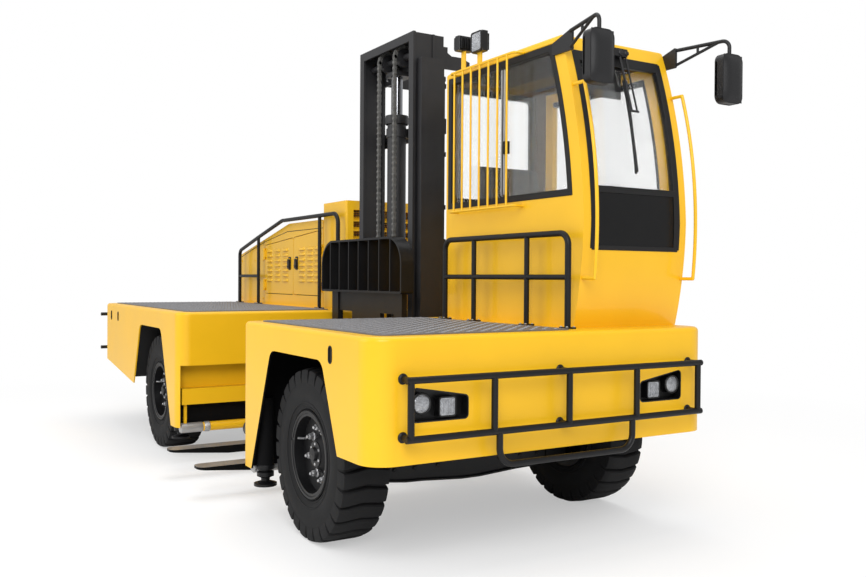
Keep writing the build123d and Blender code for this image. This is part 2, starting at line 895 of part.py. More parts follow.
def cab_outline(edge, low=cab_bottom, high=cab_roof, rear=cab_rear):
    """Cab side profile with a bowed front, shrunk by an edge width."""
    upper = ThreePointArc(
        (cab_nose - edge, cab_nose_z),
        (cab_shoulder - edge, cab_shoulder_z),
        (cab_brow - edge, cab_roof),
    )
    lower = ThreePointArc(
        (cab_foot - edge, cab_bottom),
        (cab_belly - edge, cab_belly_z),
        (cab_nose - edge, cab_nose_z),
    )
    back = Polyline(
        (cab_brow - edge, cab_roof),
        (cab_rear, cab_roof),
        (cab_rear, cab_bottom),
        (cab_foot - edge, cab_bottom),
    )
    face = make_face(upper + back + lower)
    back_edge = rear + edge
    window = Pos((back_edge + cab_ahead) / 2, (low + high) / 2) * Rectangle(cab_ahead - back_edge, high - low)
    return face & window


screen_inset = 58
screen_near = cab_near + screen_inset
screen_far = cab_far - screen_inset
rear_window = (sill + 35, cab_roof - 80)
door_rear = 1330 * stretch
door_low = cab_bottom + 60
door_high = cab_roof - 75
door_clear = 6
door_hinge_x = door_rear + door_clear / 2
door_hinge_z = (door_low + 150, door_high - 150)
door_edge = pillar - 20


def cab_door_outline(clear):
    """Door opening in the far side, shrunk by a clearance."""
    return cab_outline(door_edge + clear, door_low + clear, door_high - clear, door_rear - door_edge)


def front_band(outer, inner, z):
    """Bowed strip of the cab's front between two depths, windscreen width."""
    strip = cab_outline(outer, *z) - cab_outline(inner, *z)
    cut = block((cab_behind_screen - 200, cab_ahead), (screen_near, screen_far), z)
    return across(strip, (screen_near, screen_far)) & cut


glass_inset = 14


def side_window():
    """Window in the load side."""
    return cab_outline(pillar, sill, header, cab_rear - pillar + window_rear)


def make_cab_shell():
    """Hollow cab with window openings in its four walls."""
    cab = across(cab_outline(0), (cab_near, cab_far))
    rim_edges = cab.faces().sort_by(Axis.Z)[-1].edges()
    cab = fillet(rim_edges, 20)
    inside = cab_outline(cab_wall, cab_bottom + floor_thick, cab_roof - cab_wall)
    cab -= across(inside, (cab_near + cab_wall, cab_far - cab_wall))
    cab -= across(side_window(), (cab_near - 1, cab_near + cab_wall + 1))
    cab -= across(cab_door_outline(0), (cab_far - cab_wall - 1, cab_far + 1))
    cab -= block((cab_behind_screen, cab_ahead), (screen_near, screen_far), (panel_bottom, screen_top))
    cab -= block((cab_rear - 1, cab_rear + cab_wall + 1), (screen_near, screen_far), rear_window)
    for z in door_hinge_z:
        cab += hinge_pins(door_hinge_x, cab_far, z, 1, 1)
    return cab


def make_cab_glass():
    """Windscreen, load-side pane and rear pane."""
    side = across(side_window(), (cab_near + glass_inset, cab_near + glass_inset + glass))
    depth = (cab_rear + glass_inset, cab_rear + glass_inset + glass)
    back = block(depth, (screen_near, screen_far), rear_window)
    screen = front_band(8, 8 + glass, (panel_top, screen_top))
    panes = [*side.solids(), *back.solids(), *screen.solids()]
    return Compound(children=panes)


def make_cab_front_panel():
    """Dark lower front panel under the windscreen."""
    return front_band(2, 26, (panel_bottom, panel_top))


def make_cab_door():
    """Far-side door with its window opening."""
    door = across(cab_door_outline(door_clear), (cab_far - cab_wall, cab_far))
    pane = cab_outline(door_edge + 70, sill, door_high - 60, door_rear - door_edge)
    door -= across(pane, (cab_far - cab_wall - 1, cab_far + 1))
    lower = cab_outline(door_edge + 110, door_low + 100, sill - 110, door_rear - door_edge)
    door -= across(lower, (cab_far - 8, cab_far + 1))
    for z in door_hinge_z:
        door += hinge_barrel(door_hinge_x, cab_far, z, 1, 1)
    return door


def make_cab_door_glass():
    """Pane in the cab door."""
    pane = cab_outline(door_edge + 70, sill, door_high - 60, door_rear - door_edge)
    return across(pane, (cab_far - 26, cab_far - 26 + glass))


guard_y = 200
guard_first = 1395 * stretch
guard_pitch = 88 * stretch
guard_bars = 7
guard_low = sill - 35
guard_high = header + 10


def make_window_guard():
    """Thin bars in front of the load-side window, with the work lamp brackets."""
    rear = guard_first - 50
    front = guard_first + guard_pitch * (guard_bars - 1) + 67
    guard = Part()
    for z in (guard_low, guard_high):
        route = [(rear, cab_near, z), (rear, guard_y, z), (front, guard_y, z), (front, cab_near, z)]
        guard += bent_bar(route, rod_thin, 25)
    for k in range(guard_bars):
        x = guard_first + k * guard_pitch
        guard += bar((x, guard_y, guard_low), (x, guard_y, guard_high), rod_thin - 1)
    for x, rise, size_x, size_y, size_z in work_lamps:
        top = cab_roof + rise - size_z / 2
        guard += block((x - 20, x + 20), (guard_y - 4, guard_y + 4), (guard_high, top))
    return guard


# Columns: X, Z above the roof, size in X, size in Y, size in Z
work_lamps = ((1494 * stretch, 112, 46, 100, 84), (1661 * stretch, 88, 105, 46, 114))


handle_stand_off = 90
handle_inset = 16


def make_grab_handles():
    """Bowed rods at the two front corners of the cab."""
    handles = []
    radius = rod_thin + 2
    low = cab_bottom + 250
    middle = cab_bottom + 670
    high = cab_roof - 270
    for y in (cab_near + handle_inset, cab_far - handle_inset):
        foot = (cab_foot + 48 + handle_stand_off, y, low)
        top = (cab_brow + 80 + handle_stand_off, y, high)
        bow = ThreePointArc(foot, (cab_nose + handle_stand_off - 14, y, middle), top)
        rod = sweep(Plane(origin=bow @ 0, z_dir=bow % 0) * Circle(radius), path=bow)
        for end, root in ((foot, cab_foot + 40), (top, cab_brow + 60)):
            rod += bar((root, y, end[2]), end, radius)
            rod += Pos(*end) * Sphere(radius)
        rod -= across(cab_outline(0), (cab_near, cab_far))
        handles.extend(rod.solids())
    return Compound(children=handles)


mirror_x = cab_brow + 394
mirror_low = cab_roof - 338
mirror_high = cab_roof - 82
mirror_half = 75
mirror_out = 90
mirror_plate = 96


def make_mirrors():
    """Mirror heads on tube arms with a rung, on plates at the cab's upper front corners."""
    mirrors = []
    high, low = cab_roof - 8, cab_roof - 88
    for edge, out in ((cab_near, -1), (cab_far, 1)):
        y = edge + out * mirror_out
        root = edge + out * 12
        pad = (min(edge, root), max(edge, root))
        start = cab_brow + mirror_plate
        back, front = start - 150, start + 10
        plate = rounded([(back, low - 15), (front, low - 15), (front, high + 15), (back, low + 45)], 8)
        arm = across(plate, pad)
        knee = Vector(mirror_x, y, high + 4)
        upper = (start, root, high)
        lower = (start, root, low)
        meet = Vector(*upper) + (knee - Vector(*upper)) * 0.82
        rung = 0.42
        rung_top = Vector(*upper) + (knee - Vector(*upper)) * rung
        rung_low = Vector(*lower) + (meet - Vector(*lower)) * (rung / 0.82)
        arm += bent_bar([upper, knee, (mirror_x, y, mirror_high - 30)], 10, 40)
        arm += bar(lower, meet, 8)
        arm += bar(rung_low, rung_top, 7)
        outline = RectangleRounded(2 * mirror_half, mirror_high - mirror_low, 40)
        middle = Pos(y, (mirror_low + mirror_high) / 2)
        arm += along(middle * outline, (mirror_x - 26, mirror_x + 24))
        mirrors.extend(arm.solids())
    return Compound(children=mirrors)


def make_wiper():
    """Two-armed wiper hung from the windscreen header."""
    y = (cab_near + cab_far) / 2
    top = (cab_brow + 49, y, cab_roof - 60)
    knee = (cab_brow + 146, y, cab_roof - 380)
    wiper = block((cab_brow, cab_brow + 64), (y - 45, y + 45), (cab_roof - 80, cab_roof - 40))
    wiper += bar(top, knee, 7)
    wiper += bar((top[0], y + 40, top[2]), (knee[0], y + 40, knee[2]), 5)
    wiper += bar((knee[0], y - 10, knee[2]), (knee[0], y + 50, knee[2]), 6)
    wiper += bar((cab_brow + 102, y, cab_roof - 220), (cab_nose - 2, y, cab_roof - 700), 8)
    return wiper - across(cab_outline(0), (cab_near, cab_far))


seat_x = 1640 * stretch
seat_y = (cab_near + cab_far) / 2 - 0.5
floor_thick = 30
cab_floor = cab_bottom + floor_thick
seat_rise = 350


def make_seat():
    """Pedestal, cushion and backrest."""
    low = cab_floor + seat_rise
    seat = block((seat_x - 200, seat_x + 200), (seat_y - 190, seat_y + 190), (cab_floor, low))
    # Columns: X from the seat's middle, Z from the cushion's underside
    cushion = rounded([(seat_x + x, low + z) for x, z in ((-240, 0), (270, 0), (270, 130), (-240, 110))], 40)
    seat += across(cushion, (seat_y - 240, seat_y + 240))
    back_points = ((-300, 70), (-170, 70), (-230, 690), (-330, 690))
    back = rounded([(seat_x + x, low + z) for x, z in back_points], [30, 30, 40, 40])
    return seat + across(back, (seat_y - 230, seat_y + 230))


def make_steering_column():
    """Dash console, column and steering wheel."""
    # Columns: X behind the cab's foot, Z above the floor
    dash_points = ((-125, 0), (-55, 0), (-15, 340), (-175, 360), (-225, 300))
    dash = rounded([(cab_foot + x, cab_floor + z) for x, z in dash_points], [0, 0, 20, 20, 30])
    column = across(dash, (seat_y - 250, seat_y + 250))
    foot = (cab_foot - 175, seat_y, cab_floor + 320)
    top = (cab_foot - 295, seat_y, cab_floor + 640)
    column += bar(foot, top, 34)
    tilt = Vector(*top) - Vector(*foot)
    wheel = Plane(origin=top, z_dir=tilt)
    column += wheel * Torus(175, 14)
    column += wheel * Cylinder(45, 40)
    for turn in (0, 120, 240):
        column += wheel * Rot(0, 0, turn) * Pos(90, 0, 0) * Box(170, 26, 12)
    return column


# Hood


def hood_outline(edge):
    """Hood side profile, shrunk by an edge width."""
    return rounded(
        [
            (hood_rear + edge, deck_height),
            (hood_rear + edge, hood_rear_top - edge),
            (hood_knee, hood_top - edge),
            (hood_front - edge, hood_top - edge),
            (hood_front - edge, deck_height),
        ],
        [0, 40, 200, 20, 0],
    )


def hood_door_outline(rear, front, clear=0):
    """One door outline under the slanting seam, grown by a clearance."""
    slope = (door_top_front - door_top_rear) / (door_front_edge - door_rear_edge)

    def top(x):
        return door_top_rear + slope * (x - door_rear_edge)

    rear -= clear
    front += clear
    low = door_bottom - clear
    corners = [(rear, low), (front, low), (front, top(front) + clear), (rear, top(rear) + clear)]
    return rounded(corners, hood_door_corner + clear)


def make_engine_hood():
    """Hollow hood with the two door openings in its load side."""
    hood = across(hood_outline(0), (hood_near, hood_far))
    hood -= across(hood_outline(hood_sheet), (hood_near + hood_sheet, hood_far - hood_sheet))
    wall = (hood_near - 1, hood_near + hood_sheet + 1)
    for rear, front in hood_doors:
        hood -= across(hood_door_outline(rear, front, door_gap), wall)
    for x, toward in hood_hinges:
        for z in hood_hinge_z:
            hood += hinge_pins(x, hood_near, z, toward, -1)
    return hood


# Columns: rear edge, front edge
hood_doors = (
    (door_rear_edge, door_split - door_gap / 2),
    (door_split + door_gap / 2, door_front_edge),
)
# Columns: hinge X, the door's way from it
hood_hinges = ((door_rear_edge - door_gap / 2, 1), (door_front_edge + door_gap / 2, -1))
hood_hinge_z = (door_bottom + 75, door_top_rear - 75)
hood_door_corner = 24
louvre_low = door_bottom + 115
louvre_rows = 7
louvre_pitch = 44
louvre_size = (112, 14)
# Columns: middle X of the louvre columns in the rear door, then in the front door
louvre_columns = ((-1815, -1629, -1441), (-1079, -912, -760))
latch_inset = 75
latch_z = door_bottom + 265


def make_hood_door(index):
    """Hood door with its louvres and latch handle."""
    rear, front = hood_doors[index]
    door = across(hood_door_outline(rear, front), (hood_near, hood_near + hood_sheet))
    for x in louvre_columns[index]:
        for row in range(louvre_rows):
            z = louvre_low + row * louvre_pitch
            slit = Pos(x * stretch, z) * Rectangle(*louvre_size)
            door -= across(slit, (hood_near - 1, hood_near + hood_sheet + 1))
    latch_x = front - latch_inset if index == 0 else rear + latch_inset
    handle = (latch_x - 18, latch_x + 18)
    door += block(handle, (hood_near - 14, hood_near + sink), (latch_z - 40, latch_z + 40))
    x, toward = hood_hinges[index]
    for z in hood_hinge_z:
        door += hinge_barrel(x, hood_near, z, toward, -1)
    return door


def make_intake_box():
    """Air intake box at the well with a slatted front."""
    box = block((hood_front, intake_front), (hood_near, hood_far), (deck_height, intake_top))
    vertical = box.edges().filter_by(Axis.Z)
    box = fillet(vertical, 16)
    opening = ((hood_near + 60, hood_far - 60), (deck_height + 110, intake_top - 70))
    box -= block((intake_front - 120, intake_front + 1), *opening)
    slats = 9
    pitch = (opening[1][1] - opening[1][0]) / slats
    for k in range(1, slats):
        z = opening[1][0] + k * pitch
        slat = make_face(
            Polyline(
                (intake_front - 60, z + 20),
                (intake_front - 12, z - 8),
                (intake_front - 12, z - 14),
                (intake_front - 60, z + 14),
                close=True,
            )
        )
        box += across(slat, (opening[0][0] - 1, opening[0][1] + 1))
    return box


def make_engine_block():
    """Engine and gearbox as one block beside the chassis beam."""
    x = (engine_opening[0][0] + 30, door_split - 195)
    return block(x, (beam_inner + beam_width, hood_far - 100), (deck_height - 410, deck_height + 390))


# Rails, guards and lamps


step_half = 392
step_drop = 149


def make_end_guards():
    """Tube guards at the front and the rear."""
    guards = []
    # Columns: end, half width, bar heights, whether it has the step loop
    front_heights = (deck_height - 176, deck_height - 421)
    rear_heights = (deck_height - 103, deck_height - 406)
    ends = ((1, guard_half, front_heights, True), (-1, rear_guard_half, rear_heights, False))
    for end, half, heights, step in ends:
        x = end * (half_length + guard_reach)
        guard = Part()
        for z in heights:
            guard += bar((x, -half, z), (x, half, z), guard_radius)
        last_post = guard_half - 23
        for y in (-last_post, -last_post / 2, 0, last_post / 2, last_post):
            guard += bar((x, y, min(heights)), (x, y, max(heights)), guard_radius)
        for y in (-last_post, 0, last_post):
            for z in heights:
                guard += bar((end * half_length, y, z), (x, y, z), guard_radius - 2)
        if step:
            low = heights[1] - step_drop
            corners = ((-step_half, heights[1]), (-step_half, low), (step_half, low), (step_half, heights[1]))
            guard += bent_bar([(x, y, z) for y, z in corners], guard_radius, step_drop / 2)
        guards.extend(guard.solids())
    return Compound(children=guards)


cab_rail_y = 190
cab_rail_top = deck_height + 473
cab_rail_mid = deck_height + 254
cab_rail_posts = (1321 * stretch, 1629 * stretch, 2126 * stretch, 2460 * stretch)
hood_rail_y = 225
# Columns: X at the drawn length, Z above the deck
hood_rail_points = ((-2469, 497), (-1973, 608), (-1386, 732), (-262, 732))
hood_rail_route = [(x * stretch, deck_height + z) for x, z in hood_rail_points]
hood_rail_posts = (-1960 * stretch, -600 * stretch)
hood_rail_mid = deck_height + 255
foot_size = 30
foot_plate = 8


def rail_height_at(x):
    """Height of the hood rail above one X."""
    for (x0, z0), (x1, z1) in zip(hood_rail_route, hood_rail_route[1:]):
        if x0 <= x <= x1:
            return z0 + (z1 - z0) * (x - x0) / (x1 - x0)


def make_deck_rails():
    """Tube rails on the deck beside the cab and the hood."""
    rails = []
    foot = deck_height
    foot_z = (foot, foot + foot_plate)
    y = cab_rail_y
    first, last = cab_rail_posts[0], cab_rail_posts[-1]
    route = [(first, y, foot), (first, y, cab_rail_top), (last, y, cab_rail_top), (last, y, foot)]
    rail = bent_bar(route, rail_radius, 60)
    rail += bar((first, y, cab_rail_mid), (last, y, cab_rail_mid), rail_radius - 2)
    for x in cab_rail_posts[1:-1]:
        rail += bar((x, y, foot), (x, y, cab_rail_top), rail_radius - 2)
    for x in cab_rail_posts:
        rail += block((x - foot_size, x + foot_size), (y - foot_size, y + foot_size), foot_z)
    rails.extend(rail.solids())
    y = hood_rail_y
    route = [(x, y, z) for x, z in hood_rail_route]
    start, end = route[0], route[-1]
    rail = bent_bar([(start[0], y, foot), *route, (end[0], y, foot)], rail_radius, [60, 200, 200, 80])
    rail += bar((start[0], y, hood_rail_mid), (hood_rail_posts[0], y, hood_rail_mid), rail_radius - 2)
    for x in hood_rail_posts:
        rail += bar((x, y, foot), (x, y, rail_height_at(x)), rail_radius - 2)
    for x in (start[0], *hood_rail_posts, end[0]):
        size = min(foot_size, well_rear - end[0] - 6 if x == end[0] else foot_size)
        rail += block((x - size, x + size), (y - foot_size, y + foot_size), foot_z)
    rails.extend(rail.solids())
    return Compound(children=rails)


# Columns: Y, Z, radius or half width
round_lamp = (742, front_skirt_bottom + 0.4667 * face_height, 45)
square_lamp = (612, front_skirt_bottom + 0.43 * face_height, 42)
tail_lamp_y = 640
tail_lamp_radius = 42
well_lamp_z = 442
well_lamp_radius = 50


def make_lamps():
    """Headlamp pans, tail lamps, work lamps and the round lamp in the well."""
    lamps = []
    back = half_length - lamp_pan_depth
    for side in (-1, 1):
        pan = along(lamp_outline(side, 0), (back, half_length))
        pan -= along(lamp_outline(side, lamp_wall), (back + lamp_wall + 1, half_length + 1))
        floor = back + lamp_wall
        y, z, radius = round_lamp
        pan += bar((floor, side * y, z), (half_length - 16, side * y, z), radius)
        y, z, half = square_lamp
        pan += block((floor, half_length - 18), (side * y - half, side * y + half), (z - half, z + half))
        lamps.extend(pan.solids())
        for z in (deck_height - 290, deck_height - 190):
            y = side * tail_lamp_y
            tail = bar((-half_length - 30, y, z), (-half_length, y, z), tail_lamp_radius)
            lamps.extend(tail.solids())
    for x, rise, size_x, size_y, size_z in work_lamps:
        body = Pos(x, guard_y, cab_roof + rise) * Box(size_x, size_y, size_z)
        lamps.extend(fillet(body.edges().filter_by(Axis.Z), 10).solids())
    wall_point = (well_front, jack_y, well_lamp_z)
    well_lamp = bar((well_front - 28, jack_y, well_lamp_z), wall_point, well_lamp_radius)
    lamps.extend(well_lamp.solids())
    return Compound(children=lamps)


rim = make_rim()
tyre = make_tyre()

nodes = {
    "chassis_frame": make_chassis_frame(),
    "front_body": make_front_body(),
    "rear_body": make_rear_body(),
    "deck_plates": make_deck_plates(),
    "end_guards": make_end_guards(),
    "deck_rails": make_deck_rails(),
    "lamps": make_lamps(),
    "cab_shell": make_cab_shell(),
    "cab_glass": make_cab_glass(),
    "cab_front_panel": make_cab_front_panel(),
    "cab_door": make_cab_door(),
    "cab_door_glass": make_cab_door_glass(),
    "window_guard": make_window_guard(),
    "grab_handles": make_grab_handles(),
    "mirrors": make_mirrors(),
    "wiper": make_wiper(),
    "seat": make_seat(),
    "steering_column": make_steering_column(),
    "engine_hood": make_engine_hood(),
    "hood_door_rear": make_hood_door(0),
    "hood_door_front": make_hood_door(1),
    "intake_box": make_intake_box(),
    "engine_block": make_engine_block(),
    "front_axle": make_front_axle(),
    "rear_axle": make_rear_axle(),
    "knuckle_right": make_knuckle(-1),
    "knuckle_left": make_knuckle(1),
    "jack_rear": make_jack(-1),
    "jack_front": make_jack(1),
    "mast_outer": make_mast_outer(),
    "lift_cylinder": make_lift_cylinder(),
    "mast_inner": make_mast_inner(),
    "lift_rod": make_lift_rod(),
    "lift_chains": make_lift_chains(),
    "fork_carriage": make_fork_carriage(),
    "backrest": make_backrest(),
    "forks": make_forks(),
}

# Columns: axle X, side, name of the corner
for axle_x, side, corner in (
    (front_axle_x, -1, "front_right"),
    (front_axle_x, 1, "front_left"),
    (rear_axle_x, -1, "rear_right"),
    (rear_axle_x, 1, "rear_left"),
):
    nodes["tyre_" + corner] = at_wheel(tyre, axle_x, side)
    nodes["rim_" + corner] = at_wheel(rim, axle_x, side)

os.makedirs("parts", exist_ok=True)
for name, shape in nodes.items():
    export_step(shape, "parts/" + name + ".step")
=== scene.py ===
import math

import bmesh
import bpy
from mathutils import Matrix, Vector


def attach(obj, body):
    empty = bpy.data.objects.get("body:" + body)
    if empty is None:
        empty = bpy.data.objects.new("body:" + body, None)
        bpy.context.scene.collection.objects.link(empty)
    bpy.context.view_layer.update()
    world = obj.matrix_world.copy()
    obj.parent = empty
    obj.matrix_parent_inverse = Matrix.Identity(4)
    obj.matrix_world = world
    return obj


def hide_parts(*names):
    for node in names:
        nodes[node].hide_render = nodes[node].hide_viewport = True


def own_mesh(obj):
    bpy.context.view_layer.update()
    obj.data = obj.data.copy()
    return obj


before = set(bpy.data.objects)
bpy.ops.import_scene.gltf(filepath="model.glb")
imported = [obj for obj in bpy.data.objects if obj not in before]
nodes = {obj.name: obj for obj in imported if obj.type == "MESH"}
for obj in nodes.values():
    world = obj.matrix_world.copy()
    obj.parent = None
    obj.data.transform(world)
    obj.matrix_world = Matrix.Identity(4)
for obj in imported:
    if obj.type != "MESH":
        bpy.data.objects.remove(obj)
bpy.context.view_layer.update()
scene = bpy.context.scene
scene.view_settings.view_transform = "Standard"

# Sizes and places of the source, in metres
deck = 1.05
half_length = 2.636
half_width = 0.99
well_centre = 0.4195
well_half = 0.6405
wheel_z = 0.425
track = 0.8
tyre_radius = 0.425
tyre_facets = 28
axles = {"front": 1.826, "rear": -0.994}
cab_near = 0.265
cab_far = 0.98
cab_rear = 1.21
cab_roof = 2.55
cab_middle_y = (cab_near + cab_far) / 2
sill = 1.725
header = 2.505
pillar = 0.088
panel_bottom = 1.45
panel_top = 1.745
screen_top = 2.467
screen_near = cab_near + 0.058
screen_far = cab_far - 0.058
hood_near = 0.28
hood_far = 0.98
chain_offset = 0.111
sheave_y = 0.344
sheave_z = 2.8
sheave_radius = 0.062
chain_thick = 0.024
chain_front = sheave_y - sheave_radius - chain_thick / 2


def rgb(red, green, blue):
    """Linear colour of a colour written as it looks on a screen."""
    def linear(value):
        value /= 255
        return value / 12.92 if value <= 0.04045 else ((value + 0.055) / 1.055) ** 2.4

    return (linear(red), linear(green), linear(blue), 1)


def scaled(colour, factor):
    """Colour made lighter or darker by a factor."""
    return tuple(min(value * factor, 1) for value in colour[:3]) + (1,)


# Mesh building


def on_axis(axis, level, first, second):
    """Point at a level on one axis, with the values of the two others in their order."""
    if axis == "x":
        return (level, first, second)
    if axis == "y":
        return (first, level, second)
    return (first, second, level)


def circle(middle, side, up, radius, count):
    """Points around a middle, in the plane of two directions."""
    turns = [math.tau * k / count for k in range(count)]
    return [middle + (side * math.cos(turn) + up * math.sin(turn)) * radius for turn in turns]


class Shape:
    """Points and faces of one piece, gathered before it becomes an object."""

    def __init__(self):
        self.points = []
        self.faces = []

    def add(self, points, faces):
        """Points, and faces that count from the first of them."""
        start = len(self.points)
        self.points.extend(Vector(point) for point in points)
        self.faces.extend([start + index for index in face] for face in faces)

    def skin(self, points, count):
        """Skin over rings of as many points each, closed at both ends."""
        last = len(points) - count
        faces = []
        for start in range(0, last, count):
            for k in range(count):
                n = (k + 1) % count
                faces.append((start + k, start + n, start + count + n, start + count + k))
        faces += [tuple(range(count)), tuple(range(last, last + count))]
        self.add(points, faces)

    def box(self, x, y, z):
        """Block between two values on each axis."""
        points = [(a, b, c) for a in x for b in y for c in z]
        sides = [(0, 1, 3, 2), (4, 6, 7, 5), (0, 4, 5, 1), (2, 3, 7, 6), (0, 2, 6, 4), (1, 5, 7, 3)]
        self.add(points, sides)

    def prism(self, outline, axis, low, high):
        """Outline in the two other axes, in their order, carried along an axis."""
        points = [on_axis(axis, level, *point) for level in (low, high) for point in outline]
        self.skin(points, len(outline))

    def band(self, outer, inner, axis, low, high):
        """Strip between two outlines of as many points, with a thickness along an axis."""
        count = len(outer)
        points = [on_axis(axis, level, *point) for level in (low, high) for point in outer + inner]
        walls = ((0, count), (2 * count, 3 * count), (0, 2 * count), (count, 3 * count))
        faces = []
        for k in range(count):
            n = (k + 1) % count
            faces += [(a + k, a + n, b + n, b + k) for a, b in walls]
        self.add(points, faces)

    def lathe(self, profile, origin, axis, count=32):
        """Profile of radius and distance, turned about an axis through a point."""
        axis = Vector(axis).normalized()
        side = axis.orthogonal().normalized()
        points = []
        for radius, distance in profile:
            points += circle(Vector(origin) + axis * distance, side, axis.cross(side), radius, count)
        self.skin(points, count)

    def tube(self, route, radius, count=12):
        """Round tube along a list of points."""
        route = [Vector(point) for point in route]
        side = (route[1] - route[0]).orthogonal().normalized()
        points = []
        for k, point in enumerate(route):
            along = (route[min(k + 1, len(route) - 1)] - route[max(k - 1, 0)]).normalized()
            side = (side - along * side.dot(along)).normalized()
            points += circle(point, side, along.cross(side), radius, count)
        self.skin(points, count)

    def grid(self, point_at, columns, rows):
        """Sheet of points given by a function of column and row."""
        wide = columns + 1
        points = [point_at(i, j) for j in range(rows + 1) for i in range(wide)]
        corners = [j * wide + i for j in range(rows) for i in range(columns)]
        self.add(points, [(k, k + 1, k + wide + 1, k + wide) for k in corners])

    def hexagon(self, origin, axis, radius, height):
        """Hexagon nut or bolt head with a chamfered end."""
        self.lathe([(radius, 0), (radius, height * 0.75), (radius * 0.82, height)], origin, axis, 6)

    def button(self, origin, axis, radius, straight=0.003):
        """Low round bolt head."""
        self.lathe([(radius, 0), (radius, straight), (radius - 0.003, 0.005)], origin, axis, 16)

    def mesh(self, name):
        """Mesh of the points and faces."""
        mesh = bpy.data.meshes.new(name)
        mesh.from_pydata([tuple(point) for point in self.points], [], self.faces)
        return mesh


def round_rectangle(middle, size, radius, steps=5):
    """Outline of a rectangle with round corners."""
    points = []
    for corner, start in (((1, 1), 0), ((-1, 1), 90), ((-1, -1), 180), ((1, -1), 270)):
        for k in range(steps + 1):
            turn = math.radians(start + 90 * k / steps)
            x = middle[0] + corner[0] * (size[0] / 2 - radius) + radius * math.cos(turn)
            y = middle[1] + corner[1] * (size[1] / 2 - radius) + radius * math.sin(turn)
            points.append((x, y))
    return points


def in_scene(name, data):
    """New object in the scene."""
    obj = bpy.data.objects.new(name, data)
    scene.collection.objects.link(obj)
    return obj


def piece(name, shape, material, body="chassis", bevel=0, subdivide=0, solid=0, angle=35):
    """Object of a gathered shape, riding on a body, wearing its material."""
    mesh = shape.mesh(name)
    build = bmesh.new()
    build.from_mesh(mesh)
    bmesh.ops.recalc_face_normals(build, faces=build.faces)
    build.to_mesh(mesh)
    build.free()
    mesh.shade_smooth()
    mesh.set_sharp_from_angle(angle=math.radians(angle))
    mesh.materials.append(material)
    obj = in_scene(name, mesh)
    if solid:
        sheet = obj.modifiers.new("sheet", "SOLIDIFY")
        sheet.thickness = solid
        sheet.offset = 0
    if bevel:
        edge = obj.modifiers.new("edge", "BEVEL")
        edge.width = bevel
        edge.segments = 2
        edge.limit_method = "ANGLE"
        edge.angle_limit = math.radians(40)
    if subdivide:
        smooth = obj.modifiers.new("smooth", "SUBSURF")
        smooth.levels = subdivide
        smooth.render_levels = subdivide
    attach(obj, body)
    return obj


# Materials


def feed(tree, port, value):
    """Input of a node linked to an output, or set to a value."""
    if isinstance(value, bpy.types.NodeSocket):
        tree.links.new(value, port)
    else:
        port.default_value = value


def fill(tree, node, inputs):
    """Several inputs of a node, by name or number."""
    for port, value in inputs.items():
        feed(tree, node.inputs[port], value)


def add_node(tree, kind, inputs, operation=None):
    """New shader node with its inputs."""
    node = tree.nodes.new("ShaderNode" + kind)
    if operation:
        node.operation = operation
    fill(tree, node, inputs)
    return node


def maths(tree, first, operation, second):
    """Output of an operation on two outputs or values."""
    return add_node(tree, "Math", {0: first, 1: second}, operation).outputs["Value"]


def place_in(tree):
    """Output of the place on the object."""
    return add_node(tree, "TexCoord", {}).outputs["Object"]


def normal_in(tree):
    """Output of the direction in which a face looks."""
    return add_node(tree, "NewGeometry", {}).outputs["True Normal"]


def part_of(tree, vector, axis):
    """Output of one axis of a vector output."""
    return add_node(tree, "SeparateXYZ", {"Vector": vector}).outputs[axis]


def noise(tree, scale, detail):
    """Output of a soft noise on the object."""
    inputs = {"Vector": place_in(tree), "Scale": scale, "Detail": detail}
    return add_node(tree, "TexNoise", inputs).outputs["Fac"]


def spread(tree, value, low, high):
    """Output of 0 to 1 spread between two values."""
    return add_node(tree, "MapRange", {"Value": value, "To Min": low, "To Max": high}).outputs["Result"]


def new_material(name):
    """Material with its node tree and shader."""
    material = bpy.data.materials.new(name)
    material.use_nodes = True
    return material, material.node_tree, material.node_tree.nodes["Principled BSDF"]


def surface(name, colour, rough, metal, shine, mottle, grain, uneven=0.06, coat=0.0):
    """Painted, moulded or metal surface with a mottled colour, uneven gloss and a fine grain.

    mottle and grain hold the scale and the strength of their noise.
    """
    material, tree, shader = new_material(name)
    spots = noise(tree, mottle[0], 6)
    shades = add_node(tree, "ValToRGB", {"Fac": spots})
    for k, position, factor in ((0, 0.3, 1 - mottle[1]), (1, 0.7, 1 + mottle[1])):
        shades.color_ramp.elements[k].position = position
        shades.color_ramp.elements[k].color = scaled(colour, factor)
    relief = {"Height": noise(tree, grain[0], 2), "Strength": grain[1], "Distance": 0.002}
    fill(tree, shader, {
        "Base Color": shades.outputs["Color"],
        "Roughness": spread(tree, spots, max(rough - uneven, 0.02), rough + uneven),
        "Normal": add_node(tree, "Bump", relief).outputs["Normal"],
        "Metallic": metal,
        "Specular IOR Level": shine,
        "Coat Weight": coat,
        "Coat Roughness": 0.08,
    })
    return material


def over_mask(material, colour, rough, mask, *limits):
    """Second colour and dull gloss on a surface where a mask, made with its limits, says so; the bodies, the
    cab and the frame get their painted shade this way.
    """
    tree = material.node_tree
    share = mask(tree, *limits)
    shader = tree.nodes["Principled BSDF"]
    masked_look = {"Base Color": colour, "Roughness": rough, "Specular IOR Level": 0.06, "Coat Weight": 0}
    for name, value in masked_look.items():
        port = shader.inputs[name]
        mix = tree.nodes.new("ShaderNodeMix")
        mix.data_type = "RGBA" if name == "Base Color" else "FLOAT"
        factor, first, second = [p for p in mix.inputs if p.enabled and p.name in ("Factor", "A", "B")]
        feed(tree, factor, share)
        feed(tree, first, port.links[0].from_socket if port.links else port.default_value)
        feed(tree, second, value)
        feed(tree, port, [p for p in mix.outputs if p.enabled][0])


